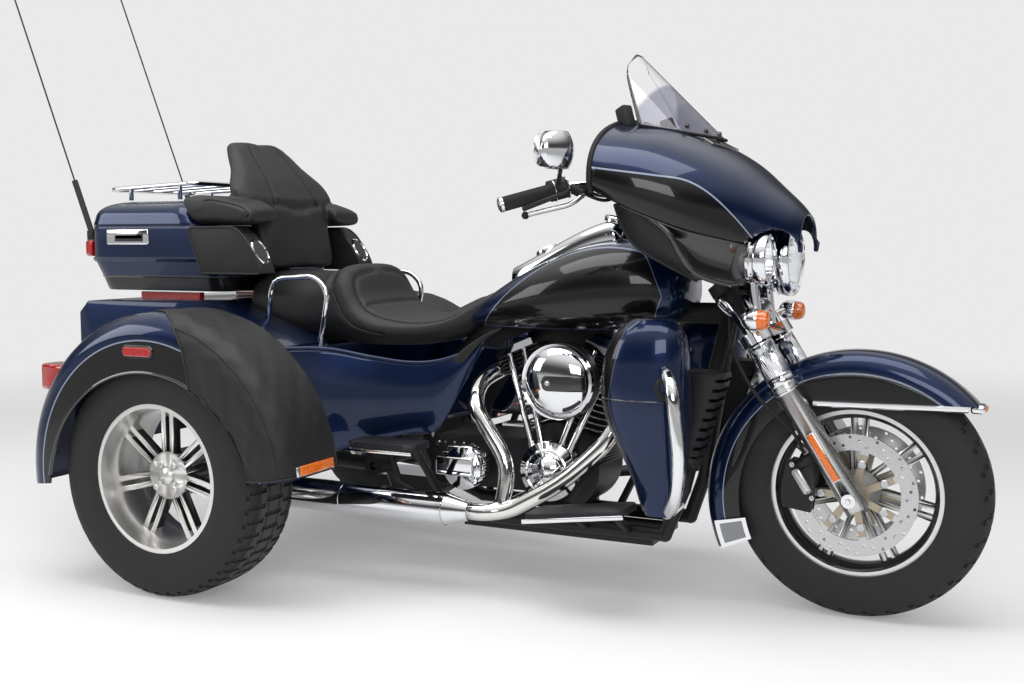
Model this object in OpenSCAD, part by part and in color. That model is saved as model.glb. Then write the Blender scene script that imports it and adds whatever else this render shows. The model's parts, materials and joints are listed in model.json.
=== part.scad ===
// Motorized touring trike: one steered front wheel, two rear wheels, an air-cooled V-twin,
// a fork-mounted fairing, a rear body with a trunk, and a top case. Millimetres and degrees.
// +X is forward, +Y is the rider's left, +Z is up. The origin is on the ground, at the middle
// of the overall box: the front tyre reaches as far ahead of it as the aerial tips reach behind.

/* [Wheels] */
// Distance between the front axle and the rear axle
wheelbase = 1690; // [1680:2:1720]
// Distance of the rear axle behind the origin
rear_axle_back = 530; // [520:2:540]
// Distance between the middles of the rear tyres
rear_track = 1144; // [1140:1:1150]
// Outside diameter of the front tyre
front_tyre_d = 636; // [624:2:640]
// Section width of the front tyre
front_tyre_w = 130; // [110:1:132]
// Outside diameter of the front rim's flange
front_rim_d = 440; // [430:2:450]
// Outside diameter of the rear tyres
rear_tyre_d = 644; // [630:2:650]
// Section width of the rear tyres
rear_tyre_w = 205; // [195:1:208]
// Outside diameter of the rear rims' flange
rear_rim_d = 415; // [405:1:420]
// Pairs of spokes in each wheel
spoke_pairs = 7; // [5:1:9]

/* [Fork] */
// Lean of the steering axis from the vertical
rake = 26; // [25:0.5:27]
// Distance on the ground from the front axle to the steering axis
trail = 100; // [95:1:105]
// Lean of the fork legs from the vertical
fork_angle = 32; // [31.5:0.1:32.5]
// Distance between the fork legs
fork_spacing = 224; // [222:1:232]
// Diameter of the fork tubes
fork_tube_d = 50; // [46:1:52]
// Diameter of the fork sliders
slider_d = 60; // [56:1:62]
// Diameter of the front axle
front_axle_d = 25; // [22:1:28]
// Bore of the hollow front axle
front_axle_bore = 15; // [10:1:18]
// Diameter of the handlebar
handlebar_d = 25.4; // [22:0.2:28.6]

/* [Bodywork] */
// Room between a rear tyre and the outer wall of its fender
fender_room = 20.5; // [16:0.5:30]
// Radius of the rear fenders' crown
rear_fender_r = 438; // [430:1:445]
// Thickness of the fender sheet
fender_wall = 5; // [4:0.5:6]
// Length of the fuel tank
tank_l = 635; // [610:5:640]
// Width of the fuel tank
tank_w = 380; // [360:2:390]
// Height of the fuel tank
tank_h = 255; // [245:1:260]
// Length of the fairing
fairing_l = 440; // [430:2:450]
// Width of the fairing
fairing_w = 800; // [780:5:820]
// Height of the fairing
fairing_h = 450; // [440:2:455]
// Height of the top of the windscreen
screen_top_z = 1430; // [1400:5:1450]
// Length of the top case
case_l = 520; // [500:5:525]
// Width of the top case
case_w = 570; // [550:5:575]
// Height of the lower half of the top case
case_h = 190; // [180:2:195]
// Height of the top case's lid
lid_h = 84; // [80:1:95]
// Wall of the top case and of the trunk
case_wall = 6; // [5:0.5:8]
// Width of the rear body between the fenders
body_w = 890; // [880:1:892]
// Length of the rear body
body_l = 715; // [705:1:720]

/* [Engine] */
// Angle between the two cylinders
v_angle = 45; // [44:0.5:46]
// Diameter over the cylinder fins
cylinder_d = 150; // [140:2:156]
// Fins on each cylinder
fin_count = 9; // [6:1:11]
// Diameter of the air cleaner cover
air_cleaner_d = 200; // [180:2:210]
// Diameter of the exhaust header pipes
header_d = 45; // [40:1:48]
// Diameter of the mufflers
muffler_d = 88; // [80:1:92]

/* [Hidden] */

$fn = 48;
// Overrun that lets a cut pass its surface
cut = 2;
// Gap between a shaft and the hole it turns in
running_gap = 0.15;
// Gap between pieces that lie against each other
seat_gap = 0.3;
// Gap between a moving piece and what it moves past
moving_gap = 6;
// Sides of a swept tube
tube_sides = 12;
// Points round a lofted section
ring_points = 24;

// Places of the axles and of the steering axis
rear_axle_x = -rear_axle_back;
rear_axle_z = rear_tyre_d / 2;
front_axle_x = wheelbase - rear_axle_back;
front_axle_z = front_tyre_d / 2;
rear_wheel_y = rear_track / 2;
leg_y = fork_spacing / 2;
steer_foot_x = front_axle_x + trail;

// General shapes

function unit(v) = v / norm(v);
function flat(lists) = [for (l = lists) each l];
function steer_x(z) = steer_foot_x - z * tan(rake);
function power(c, e) = sign(c) * pow(abs(c), 2 / e);

// Points of an arc in the plane
function arc(cx, cy, r, from, to, steps) =
    [for (i = [0 : steps]) let (a = from + (to - from) * i / steps) [cx + r * cos(a), cy + r * sin(a)]];

// A polyline whose inner corners are rounded to a radius
function rounded_path(p, r, steps = 4) = flat([for (i = [0 : len(p) - 1])
    i == 0 || i == len(p) - 1 ? [p[i]] :
    let (a = p[i - 1] - p[i], b = p[i + 1] - p[i],
         k = min(r, norm(a) / 2.1, norm(b) / 2.1),
         start = p[i] + unit(a) * k, end = p[i] + unit(b) * k)
    [for (s = [0 : steps]) let (t = s / steps)
        start * (1 - t) * (1 - t) + p[i] * 2 * t * (1 - t) + end * t * t]]);

function tangent(p, i) = unit(p[min(i + 1, len(p) - 1)] - p[max(i - 1, 0)]);
function turn_to(n, t) = unit(n - t * (n * t));
function any_normal(t) = turn_to(abs(t[2]) < 0.8 ? [0, 0, 1] : [1, 0, 0], t);
function normals(p, i = 0, last = undef) = i >= len(p) ? [] :
    let (n = turn_to(is_undef(last) ? any_normal(tangent(p, 0)) : last, tangent(p, i)))
    concat([n], normals(p, i + 1, n));
function circle_at(c, n, b, r, sides) =
    [for (j = [0 : sides - 1]) let (a = 360 * j / sides) c + n * (r * cos(a)) + b * (r * sin(a))];

// Skin over rings of equal count; each ring turns anticlockwise seen from the last one's side
module loft(rings) {
    n = len(rings[0]);
    last = (len(rings) - 1) * n;
    sides = flat([for (i = [0 : len(rings) - 2], j = [0 : n - 1])
        let (a = i * n + j, b = i * n + (j + 1) % n, c = b + n, d = a + n) [[a, d, c], [a, c, b]]]);
    polyhedron(flat(rings), concat([[for (j = [0 : n - 1]) j]],
        [[for (j = [n - 1 : -1 : 0]) last + j]], sides));
}

// Round bar along a path
module swept_bar(path, r, sides = tube_sides) {
    side_normals = normals(path);
    loft([for (i = [0 : len(path) - 1])
        circle_at(path[i], side_normals[i], cross(tangent(path, i), side_normals[i]), r, sides)]);
}

// Sheet between an outer and an inner grid of points
module thick_sheet(outer, inner) {
    n = len(outer);
    m = len(outer[0]);
    base = n * m;
    function quad(a, b, c, d) = [[a, b, c], [a, c, d]];
    outside = flat([for (i = [0 : n - 2], j = [0 : m - 2])
        let (a = i * m + j) quad(a, a + m, a + m + 1, a + 1)]);
    inside = flat([for (i = [0 : n - 2], j = [0 : m - 2])
        let (a = base + i * m + j) quad(a, a + 1, a + m + 1, a + m)]);
    ends = flat([for (j = [0 : m - 2])
        let (a = j, z = (n - 1) * m + j)
        concat(quad(a, a + 1, base + a + 1, base + a), quad(z + 1, z, base + z, base + z + 1))]);
    edges = flat([for (i = [0 : n - 2])
        let (a = i * m, z = i * m + m - 1)
        concat(quad(a + m, a, base + a, base + a + m), quad(z, z + m, base + z + m, base + z))]);
    polyhedron(concat(flat(outer), flat(inner)), concat(outside, inside, ends, edges));
}

// Oval ring across X, with its widest place at a height of its own
function oval_x(x, half_w, low, wide, high, e) = [for (i = [0 : ring_points - 1])
    let (a = 360 * i / ring_points, s = sin(a))
    [x, half_w * power(cos(a), e), wide + power(s, e) * (s > 0 ? high - wide : wide - low)]];
// Oval ring across Z
function oval_z(z, cx, cy, half_x, half_y, e) = [for (i = [0 : ring_points - 1])
    let (a = 360 * i / ring_points) [cx + half_x * power(cos(a), e), cy + half_y * power(sin(a), e), z]];

module both_sides() {
    children();
    mirror([0, 1, 0]) children();
}
// Local Z points to the rider's right and local Y up, from a point on the centre plane
module across(x, z) translate([x, 0, z]) rotate([90, 0, 0]) children();
// Local Z runs up the fork legs from the front axle
module up_fork() translate([front_axle_x, 0, front_axle_z]) rotate([0, -fork_angle, 0]) children();
// Local Z runs up the steering axis from the ground
module up_steering() translate([steer_foot_x, 0, 0]) rotate([0, -rake, 0]) children();
function on_fork(s, side_y) =
    [front_axle_x - s * sin(fork_angle), side_y, front_axle_z + s * cos(fork_angle)];
module rod(a, b, r) {
    v = b - a;
    translate(a) rotate([0, acos(v[2] / norm(v)), atan2(v[1], v[0])]) cylinder(h = norm(v), r = r);
}
// Flat outline with round corners between two places along X
module rounded_plate(from, to, half_w, r) {
    translate([from + r, -half_w]) square([to - from - 2 * r, 2 * half_w]);
    translate([from, r - half_w]) square([to - from, 2 * (half_w - r)]);
    for (x = [from + r, to - r], y = [r - half_w, half_w - r]) translate([x, y]) circle(r = r, $fn = 32);
}

// Wheels and brakes

bead_share = 0.92;
front_bead_r = front_rim_d / 2 * bead_share;
rear_bead_r = rear_rim_d / 2 * bead_share;
rim_wall = 8;
rim_drop = 10;
seat_share = 0.6;
drop_share = 0.35;
spoke_w = 14;
spoke_gap = 14;
spoke_depth = 26;
front_rim_w = 96;
rear_rim_w = 186;
flange_w = 8;
front_hub_r = 38;
front_hub_half = 66;
front_flange_r = 56;
rear_hub_r = 64;
rear_hub_back = 66;
rear_hub_face = 40;
rear_spoke_z = 12;
stub_d = 40;
stub_l = 90;
centre_cap_r = 25;
centre_cap_h = 10;
nut_circle_r = 44;
nut_r = 9;
nut_h = 14;
nut_count = 4;
disc_y = 72;
disc_r = 152;
disc_inner_r = 112;
disc_t = 5;
carrier_r = 116;
carrier_arm_w = 18;
vent_r = 4;
vent_circle_shares = [0.825, 0.89, 0.955];
vents_per_circle = 14;
// Half of a tyre's section above the rim: share of half the width, share of the height
front_tyre_shares = [[0.86, 0.06], [0.97, 0.2], [1, 0.36], [0.95, 0.62], [0.8, 0.81],
    [0.52, 0.945], [0.2, 1]];
rear_tyre_shares = [[0.92, 0.06], [0.98, 0.18], [1, 0.38], [0.98, 0.66], [0.92, 0.85],
    [0.8, 0.955], [0.45, 1]];

function flipped(p) = [for (i = [len(p) - 1 : -1 : 0]) [p[i][0], -p[i][1]]];

module tyre(bead_r, rim_d, rim_w, d, w, shares) {
    bead_half = rim_w / 2 - flange_w - seat_gap;
    half = concat([[bead_r, bead_half], [rim_d / 2 + seat_gap, bead_half]],
        [for (s = shares) [rim_d / 2 + s[1] * (d - rim_d) / 2, s[0] * w / 2]]);
    rotate_extrude() polygon(concat(half, flipped(half)));
}

// Rim with flanges outside, bead seats under the tyre and a dropped middle
module rim_ring(rim_d, bead_r, w) {
    half = w / 2;
    outer = [[rim_d / 2, half], [rim_d / 2, half - flange_w], [bead_r, half - flange_w],
        [bead_r, half * seat_share], [bead_r - rim_drop, half * drop_share]];
    inner = [[bead_r - rim_wall / 2, -half], [bead_r - rim_wall, -half * seat_share],
        [bead_r - rim_drop - rim_wall, -half * drop_share]];
    rotate_extrude() polygon(concat(outer, flipped(outer), inner, flipped(inner)));
}

module spokes(hub_r, reach, z) {
    for (i = [0 : spoke_pairs - 1], s = [-1, 1]) rotate([0, 0, 90 + 360 * i / spoke_pairs])
        translate([hub_r * 0.6, s * spoke_gap - spoke_w / 2, z])
            cube([reach - hub_r * 0.6, spoke_w, spoke_depth]);
}

module front_rim() color("silver") across(front_axle_x, front_axle_z) difference() {
    union() {
        rim_ring(front_rim_d, front_bead_r, front_rim_w);
        spokes(front_flange_r, front_bead_r - rim_drop - rim_wall / 2, -spoke_depth / 2);
        translate([0, 0, -front_hub_half]) cylinder(h = 2 * front_hub_half, r = front_hub_r);
        cylinder(h = spoke_depth + flange_w, r = front_flange_r, center = true);
    }
    translate([0, 0, -front_hub_half - cut])
        cylinder(h = 2 * (front_hub_half + cut), d = front_axle_d + 2 * running_gap);
}

module front_tyre() color("dimgray") across(front_axle_x, front_axle_z)
    tyre(front_bead_r, front_rim_d, front_rim_w, front_tyre_d, front_tyre_w, front_tyre_shares);

// Drilled disc on its arms, and the boss that seats it on the wheel hub
module brake_disc() {
    boss_h = disc_y - disc_t / 2 - front_hub_half;
    translate([0, 0, boss_h]) linear_extrude(disc_t) difference() {
        union() {
            difference() {
                circle(r = disc_r);
                circle(r = disc_inner_r);
            }
            for (i = [0 : spoke_pairs - 1]) rotate(360 * (i + 0.5) / spoke_pairs)
                translate([0, -carrier_arm_w / 2]) square([carrier_r, carrier_arm_w]);
            circle(r = front_hub_r);
        }
        circle(d = front_axle_d + 2 * running_gap);
        for (c = [0 : len(vent_circle_shares) - 1], i = [0 : vents_per_circle - 1])
            rotate(360 * (i + c / len(vent_circle_shares)) / vents_per_circle)
                translate([disc_r * vent_circle_shares[c], 0]) circle(r = vent_r, $fn = 24);
    }
    linear_extrude(boss_h) difference() {
        circle(r = front_hub_r * 0.9);
        circle(d = front_axle_d + 2 * running_gap);
    }
}

module brake_discs() color("gray") both_sides()
    across(front_axle_x, front_axle_z) translate([0, 0, front_hub_half]) brake_disc();

module rear_rim() across(rear_axle_x, rear_axle_z) translate([0, 0, rear_wheel_y]) difference() {
    union() {
        rim_ring(rear_rim_d, rear_bead_r, rear_rim_w);
        spokes(rear_hub_r, rear_bead_r - rim_drop - rim_wall / 2, rear_spoke_z);
        translate([0, 0, -rear_hub_back]) cylinder(h = rear_hub_back + rear_hub_face, r = rear_hub_r);
        cylinder(h = rear_hub_face + centre_cap_h, r = centre_cap_r);
        for (i = [0 : nut_count - 1]) rotate([0, 0, 360 * (i + 0.5) / nut_count])
            translate([nut_circle_r, 0, 0]) cylinder(h = rear_hub_face + nut_h, r = nut_r);
    }
    translate([0, 0, -rear_hub_back - cut])
        cylinder(h = stub_l + cut + moving_gap, d = stub_d + 2 * running_gap);
}
module rear_tyre() across(rear_axle_x, rear_axle_z) translate([0, 0, rear_wheel_y])
    tyre(rear_bead_r, rear_rim_d, rear_rim_w, rear_tyre_d, rear_tyre_w, rear_tyre_shares);
module rear_rim_right() color("silver") rear_rim();
module rear_tyre_right() color("dimgray") rear_tyre();
module rear_rim_left() color("silver") mirror([0, 1, 0]) rear_rim();
module rear_tyre_left() color("dimgray") mirror([0, 1, 0]) rear_tyre();

// Fork, clamps, axle and brakes

slider_below = 34;
slider_l = 352;
cap_ring_h = 18;
cap_ring_lip = 3;
cap_ring_r = slider_d / 2 + cap_ring_lip;
fork_cover_r = 34;
fork_cover_s = 336;
fork_cover_l = 92;
tube_top = 618;
lower_clamp_s = 452;
upper_clamp_s = 600;
clamp_t = 28;
clamp_r = 41;
clamp_depth = 64;
stem_r = 16;
stem_top_z = 842;
stem_low_z = 690;
axle_overhang = 8;
axle_head_r = 17;
caliper_angle = 172;
caliper_l = 120;
caliper_in_r = 92;
caliper_out_r = 172;
caliper_in_y = 53;
caliper_out_y = 104;
caliper_boss_r = 15;
lug_share = 0.36;

module fork_sliders() color("lightgray") difference() {
    up_fork() for (s = [-1, 1]) translate([0, s * leg_y, -slider_below]) {
        difference() {
            union() {
                cylinder(h = slider_l, d = slider_d);
                translate([0, 0, slider_l - cap_ring_h]) cylinder(h = cap_ring_h, r = cap_ring_r);
            }
            translate([0, 0, slider_below + slider_d]) cylinder(h = slider_l, d = fork_tube_d);
        }
    }
    across(front_axle_x, front_axle_z) cylinder(h = 2 * fork_spacing, d = front_axle_d, center = true);
}

module fork_tubes() color("gainsboro") up_fork() for (s = [-1, 1]) translate([0, s * leg_y, 0]) union() {
    translate([0, 0, slider_d]) cylinder(h = tube_top - slider_d, d = fork_tube_d);
    translate([0, 0, fork_cover_s]) cylinder(h = fork_cover_l, r = fork_cover_r);
}

module clamp(s) up_fork() translate([0, 0, s - clamp_t / 2]) difference() {
    union() {
        for (k = [-1, 1]) translate([0, k * leg_y, 0]) cylinder(h = clamp_t, r = clamp_r);
        translate([-clamp_depth / 2, -leg_y, 0]) cube([clamp_depth, fork_spacing, clamp_t]);
    }
    for (k = [-1, 1]) translate([0, k * leg_y, -cut]) cylinder(h = clamp_t + 2 * cut, d = fork_tube_d);
}

module triple_clamps() color("dimgray") union() {
    clamp(lower_clamp_s);
    clamp(upper_clamp_s);
    up_steering() translate([0, 0, stem_low_z / cos(rake)])
        cylinder(h = (stem_top_z - stem_low_z) / cos(rake), r = stem_r);
}

module front_axle() color("silver") across(front_axle_x, front_axle_z) difference() {
    half = leg_y + slider_d / 2 + axle_overhang;
    union() {
        cylinder(h = 2 * half, d = front_axle_d, center = true);
        for (s = [-1, 1]) translate([0, 0, s * (half - axle_overhang / 2)])
            cylinder(h = axle_overhang, r = axle_head_r, center = true);
    }
    cylinder(h = 2 * half + 2 * cut, d = front_axle_bore, center = true);
}

// Caliper over the disc's edge, with the lug that reaches the slider
module caliper() across(front_axle_x, front_axle_z) rotate([0, 0, caliper_angle]) difference() {
    union() {
        intersection() {
            translate([caliper_in_r, -caliper_l / 2, caliper_in_y])
                cube([caliper_out_r - caliper_in_r, caliper_l, caliper_out_y - caliper_in_y]);
            cylinder(h = caliper_out_y + cut, r = caliper_out_r);
        }
        rotate([0, 0, 90 + fork_angle - caliper_angle])
            translate([slider_l * lug_share, 0, caliper_out_y - caliper_boss_r / 2])
            rotate([-90, 0, 0]) cylinder(h = caliper_l * 0.7, r = caliper_boss_r);
    }
    translate([0, 0, disc_y - disc_t / 2 - moving_gap])
        cylinder(h = disc_t + 2 * moving_gap, r = disc_r + moving_gap);
    rotate([0, 0, 90 + fork_angle - caliper_angle]) translate([0, 0, leg_y]) rotate([0, 90, 0])
        cylinder(h = slider_l, d = slider_d);
}
module brake_calipers() color("dimgray") both_sides() caliper();

// Front fender

front_fender_r = 378;
front_fender_fall = 25;
front_fender_corner = 46;
front_fender_skirt = 128;
front_fender_half = leg_y - slider_d / 2 - moving_gap;
front_fender_from = 42;
front_fender_sweep = 161;
front_fender_hem = 232;
front_fender_break = 85;
front_fender_side = 92;
fender_boss_r = 11;
fender_boss_s = 288;

function negated(p) = [for (q = p) [q[0], -q[1]]];
function half_channel(r, half_w, corner, skirt) =
    concat([[r - skirt, half_w]], arc(r - corner, half_w - corner, corner, 90, 0, 6));

module front_fender() color("navy") difference() {
    union() {
        across(front_axle_x, front_axle_z - front_fender_fall) rotate([0, 0, front_fender_from])
            rotate_extrude(angle = front_fender_sweep) {
                outer = half_channel(front_fender_r, front_fender_half, front_fender_corner,
                    front_fender_skirt);
                inner = half_channel(front_fender_r - fender_wall, front_fender_half - fender_wall,
                    front_fender_corner - fender_wall, front_fender_skirt - fender_wall);
                polygon(concat(outer, flipped(outer), negated(inner), flipped(negated(inner))));
            }
        for (s = [-1, 1]) translate(on_fork(fender_boss_s, s * (front_fender_half + leg_y) / 2))
            rotate([90, 0, 0])
            cylinder(h = leg_y - front_fender_half + fender_wall, r = fender_boss_r, center = true);
    }
    translate([front_axle_x - front_fender_break, -leg_y, 0])
        cube([front_fender_r * 2, fork_spacing, front_axle_z + front_fender_hem]);
    intersection() {
        across(front_axle_x, front_axle_z - front_fender_fall)
            cylinder(h = fork_spacing, r = front_fender_r - front_fender_side, center = true);
        translate([front_axle_x - front_fender_break - front_fender_r, -leg_y, 0])
            cube([front_fender_r, fork_spacing, 2 * front_fender_r]);
    }
    up_fork() for (s = [-1, 1]) translate([0, s * leg_y, 0]) cylinder(h = tube_top, d = slider_d);
}

// Handlebar, grips, switches, levers and mirrors

bar_behind = 460;
bar_x = front_axle_x - bar_behind;
bar_z = 985;
bar_back = 315;
bar_half_w = 432;
bar_rise = 95;
bar_bend = 70;
bar_shares = [[0, 0, 0], [0.03, 0.18, 0], [0.19, 0.42, 0.58], [0.4, 0.66, 0.95], [0.57, 0.735, 1],
    [1, 1, 0.5]];
riser_y = 48;
riser_r = 15;
grip_r = 18;
grip_share = 0.88;
switch_r = 26;
switch_l = 46;
lever_r = 6;
lever_lead = 48;
lever_drop = 14;
mirror_r = 44;
mirror_reach = 24;
mirror_depth = 52;
mirror_dome_r = 78;
mirror_up = 82;
mirror_out = 425;
mirror_stalk_r = 6;

bar_points = [for (s = bar_shares) [bar_x - s[0] * bar_back, -s[1] * bar_half_w, bar_z + s[2] * bar_rise]];
grip_end = bar_points[5];
grip_start = grip_end + (bar_points[4] - grip_end) * grip_share;
grip_dir = unit(grip_end - bar_points[4]);

module handlebar() color("silver") difference() {
    union() {
        both_sides() swept_bar(rounded_path(bar_points, bar_bend), handlebar_d / 2);
        for (s = [-1, 1]) rod(on_fork(upper_clamp_s, s * riser_y), [bar_x, s * riser_y, bar_z], riser_r);
    }
    clamp(upper_clamp_s);
    up_steering() cylinder(h = (stem_top_z + clamp_t) / cos(rake), r = stem_r + seat_gap);
}

module right_controls() {
    difference() {
        union() {
            rod(grip_start + grip_dir * switch_l, grip_end + grip_dir * switch_r / 2, grip_r);
            rod(grip_start, grip_start + grip_dir * switch_l, switch_r);
        }
        rod(grip_start - grip_dir * switch_l, grip_end, handlebar_d / 2);
    }
    root = grip_start + grip_dir * switch_l / 2 + [switch_r * 0.8, 0, 0];
    difference() {
        swept_bar(rounded_path([root, root + [lever_lead * 0.4, -lever_lead * 0.4, -lever_drop * 0.4],
            grip_end + [lever_lead, 0, -lever_drop]], lever_lead), lever_r, 8);
        rod(grip_start - grip_dir * cut, grip_start + grip_dir * (switch_l + cut), switch_r);
    }
}
module hand_controls() color("black") both_sides() right_controls();

mirror_at = [grip_start[0], -mirror_out, grip_start[2] + mirror_up];
module mirrors() color("silver") both_sides() {
    difference() {
        union() {
            translate(mirror_at) rotate([0, 90, 0]) intersection() {
                linear_extrude(mirror_depth) union() {
                    square([2 * mirror_r, 2 * mirror_reach], center = true);
                    for (s = [-1, 1]) translate([0, s * mirror_reach]) circle(r = mirror_r);
                }
                translate([0, 0, mirror_depth - mirror_dome_r]) sphere(r = mirror_dome_r);
            }
            rod(grip_start + grip_dir * switch_l / 2, mirror_at + [mirror_depth / 2, 0, -mirror_r * 0.7],
                mirror_stalk_r);
        }
        rod(grip_start - grip_dir * cut, grip_start + grip_dir * (switch_l + cut), switch_r);
    }
}

// Fairing, its lower flanks, dash and windscreen

fairing_behind = 575;
fairing_x = front_axle_x - fairing_behind;
fairing_z = 835;
fairing_wall = 6;
fairing_round = 2.3;
// Along the fairing: place, half width, top, bottom and widest height
fairing_shares = [[0, 0.985, 1, 0.39, 0.57], [0.15, 1, 0.955, 0.27, 0.53], [0.307, 0.96, 0.895, 0.155, 0.49],
    [0.49, 0.86, 0.8, 0.06, 0.43], [0.67, 0.7, 0.68, 0.01, 0.38], [0.83, 0.5, 0.545, 0, 0.31],
    [0.943, 0.35, 0.445, 0.03, 0.25], [1, 0.24, 0.38, 0.1, 0.22]];
flank_from = -55;
flank_to = -29;
flank_rows = 5;
shell_steps = 20;

function fairing_point(s, a, inset) = let (k = sin(a))
    [fairing_x + s[0] * fairing_l, (s[1] * fairing_w / 2 - inset) * power(cos(a), fairing_round),
     fairing_z + s[4] * fairing_h + power(k, fairing_round) *
        ((k > 0 ? s[2] - s[4] : s[4] - s[3]) * fairing_h - inset)];
function fairing_grid(from, to, steps, rows, inset) = [for (i = [0 : rows - 1])
    [for (j = [0 : steps]) fairing_point(fairing_shares[i], from + (to - from) * j / steps, inset)]];

// Whole volume within the fairing's skin
module fairing_volume(inset) loft([for (s = fairing_shares)
    [for (j = [0 : ring_points * 2 - 1]) fairing_point(s, 180 * j / ring_points, inset)]]);

stay_y = 100;
stay_r = 8;
// Two stays inside the shell rest on the lamp bar
module fairing() color("navy") union() {
    difference() {
        thick_sheet(fairing_grid(flank_to, 180 - flank_to, shell_steps, len(fairing_shares), 0),
            fairing_grid(flank_to, 180 - flank_to, shell_steps, len(fairing_shares), fairing_wall));
        for (s = [-1, 1]) translate([passing_x - lamp_depth - moving_gap, s * passing_y, lamp_z])
            rotate([0, 90, 0]) cylinder(h = fairing_l, r = passing_r + moving_gap);
    }
    intersection() {
        for (s = [-1, 1]) translate([lamp_bar_x, s * stay_y, lamp_bar_z + lamp_bar_r + seat_gap])
            cylinder(h = fairing_h, r = stay_r);
        fairing_volume(fairing_wall / 2);
    }
}

module fairing_wings() color("dimgray") both_sides()
    thick_sheet(fairing_grid(flank_from, flank_to, 4, flank_rows, 0),
        fairing_grid(flank_from, flank_to, 4, flank_rows, fairing_wall));

dash_depth_share = 0.06;
dash_low = 1045;
dash_shoulder = 1112;
dash_half = 165;
gauge_r = 46;
gauge_h = 10;
gauge_y = 62;
gauge_z = 1170;
small_gauge_r = 24;
small_gauge_y = 165;

function dash_ring(depth) = let (a = fairing_shares[0], b = fairing_shares[1], k = depth / b[0],
        s = a + (b - a) * k)
    concat([for (j = [3 : shell_steps - 3])
            fairing_point(s, flank_to + (180 - 2 * flank_to) * j / shell_steps, fairing_wall + 2 * seat_gap)],
        [for (p = [[-1.25, 1], [-1, 0], [1, 0], [1.25, 1]])
            [fairing_x + s[0] * fairing_l, p[0] * dash_half, dash_low + p[1] * (dash_shoulder - dash_low)]]);

module dash() color("black") union() {
    loft([dash_ring(0), dash_ring(dash_depth_share)]);
    for (s = [-1, 1]) {
        translate([fairing_x - gauge_h, s * gauge_y, gauge_z])
            rotate([0, 90, 0]) cylinder(h = 2 * gauge_h, r = gauge_r);
        translate([fairing_x - gauge_h, s * small_gauge_y, gauge_z])
            rotate([0, 90, 0]) cylinder(h = 2 * gauge_h, r = small_gauge_r);
    }
}

screen_ahead = 262;
screen_overhang = 12;
screen_base_x = fairing_x + screen_ahead;
screen_base_z = 1180;
screen_top_x = fairing_x - screen_overhang;
screen_base_half = 245;
screen_top_half = 150;
screen_sweep = 235;
screen_lift = 62;
screen_wall = 5;
screen_rows = 8;
screen_columns = 16;

function screen_point(u, v, inset) = let (t = v * (1 - 0.16 * pow(abs(u), 3)))
    [screen_base_x + (screen_top_x - screen_base_x) * t
        - (screen_sweep * (1 - t) + screen_lift * t) * u * u - inset,
     u * (screen_base_half + (screen_top_half - screen_base_half) * t),
     screen_base_z + (screen_top_z - screen_base_z) * t + screen_lift * (1 - 1.6 * t) * u * u - inset];
function screen_grid(inset) = [for (i = [0 : screen_rows])
    [for (j = [0 : screen_columns]) screen_point(1 - 2 * j / screen_columns, i / screen_rows, inset)]];

module windscreen() color("lightblue", 0.5) difference() {
    thick_sheet(screen_grid(screen_wall * 0.7), screen_grid(0));
    fairing_volume(-seat_gap);
}

// Lamps on the fork

lamp_behind = 175;
lamp_x = front_axle_x - lamp_behind;
lamp_z = 897;
lamp_r = 89;
bezel_t = 7;
bezel_w = 22;
lamp_depth = 86;
passing_behind = 200;
passing_x = front_axle_x - passing_behind;
passing_y = 166;
passing_r = 62;
lamp_bar_r = 15;
lamp_bar_behind = 262;
lamp_bar_x = front_axle_x - lamp_bar_behind;
lamp_bar_z = 868;
lamp_post_y = 72;
signal_behind = 250;
signal_x = front_axle_x - signal_behind;
signal_y = 200;
signal_z = 752;
signal_r = 25;
signal_l = 66;

// Bowl, bezel and domed lens about X, with the lens at the front
module lamp(r, depth) {
    glass_r = r * 0.97;
    rotate([0, 90, 0]) rotate_extrude() polygon(concat([[0, -depth]],
        [for (a = [-72 : 18 : -18]) [r * cos(a), depth * sin(a)]],
        [[r, 0], [r + bezel_t, 0], [r + bezel_t, bezel_w], [r, bezel_w], [glass_r, bezel_w * 0.6]],
        [for (a = [20 : 20 : 80]) [glass_r * cos(a), bezel_w * (0.6 + 0.9 * sin(a))]], [[0, bezel_w * 1.5]]));
}

module headlamps() color("silver") union() {
    translate([lamp_x - bezel_w, 0, lamp_z]) lamp(lamp_r, lamp_depth);
    for (s = [-1, 1]) {
        translate([passing_x - bezel_w, s * passing_y, lamp_z]) lamp(passing_r - bezel_t, lamp_depth * 0.7);
        difference() {
            rod([lamp_bar_x, s * lamp_post_y, lamp_bar_z], on_fork(lower_clamp_s, s * lamp_post_y),
                lamp_bar_r);
            up_fork() translate([-fork_spacing, -fork_spacing, lower_clamp_s + clamp_t / 2 - fork_spacing])
                cube([2 * fork_spacing, 2 * fork_spacing, fork_spacing]);
        }
    }
    rod([lamp_bar_x, -passing_y, lamp_bar_z], [lamp_bar_x, passing_y, lamp_bar_z], lamp_bar_r);
}

module turn_signals() color("orange") both_sides() difference() {
    union() {
        translate([signal_x, -signal_y, signal_z]) rotate([0, 90, 0]) cylinder(h = signal_l, r = signal_r);
        rod(on_fork((signal_z - front_axle_z) / cos(fork_angle), -leg_y),
            [signal_x + signal_l / 2, -signal_y, signal_z], signal_r * 0.4);
    }
    up_fork() translate([0, -leg_y, 0]) cylinder(h = tube_top, d = fork_tube_d);
}

// Frame

neck_low_z = 724;
neck_top_z = 806;
neck_r = 31;
backbone_r = 28;
rail_r = 19;
rail_z = 178;
joint_share = 1.04;
pivot_r = 12;
pivot_x = -150;
pivot_z = 305;
pivot_half = 192;
neck_z = (neck_low_z + neck_top_z) / 2;
neck_x = steer_x(neck_z);
rear_cross_z = 445;
rail_half = 118;
neck_drop = 12;
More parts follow.
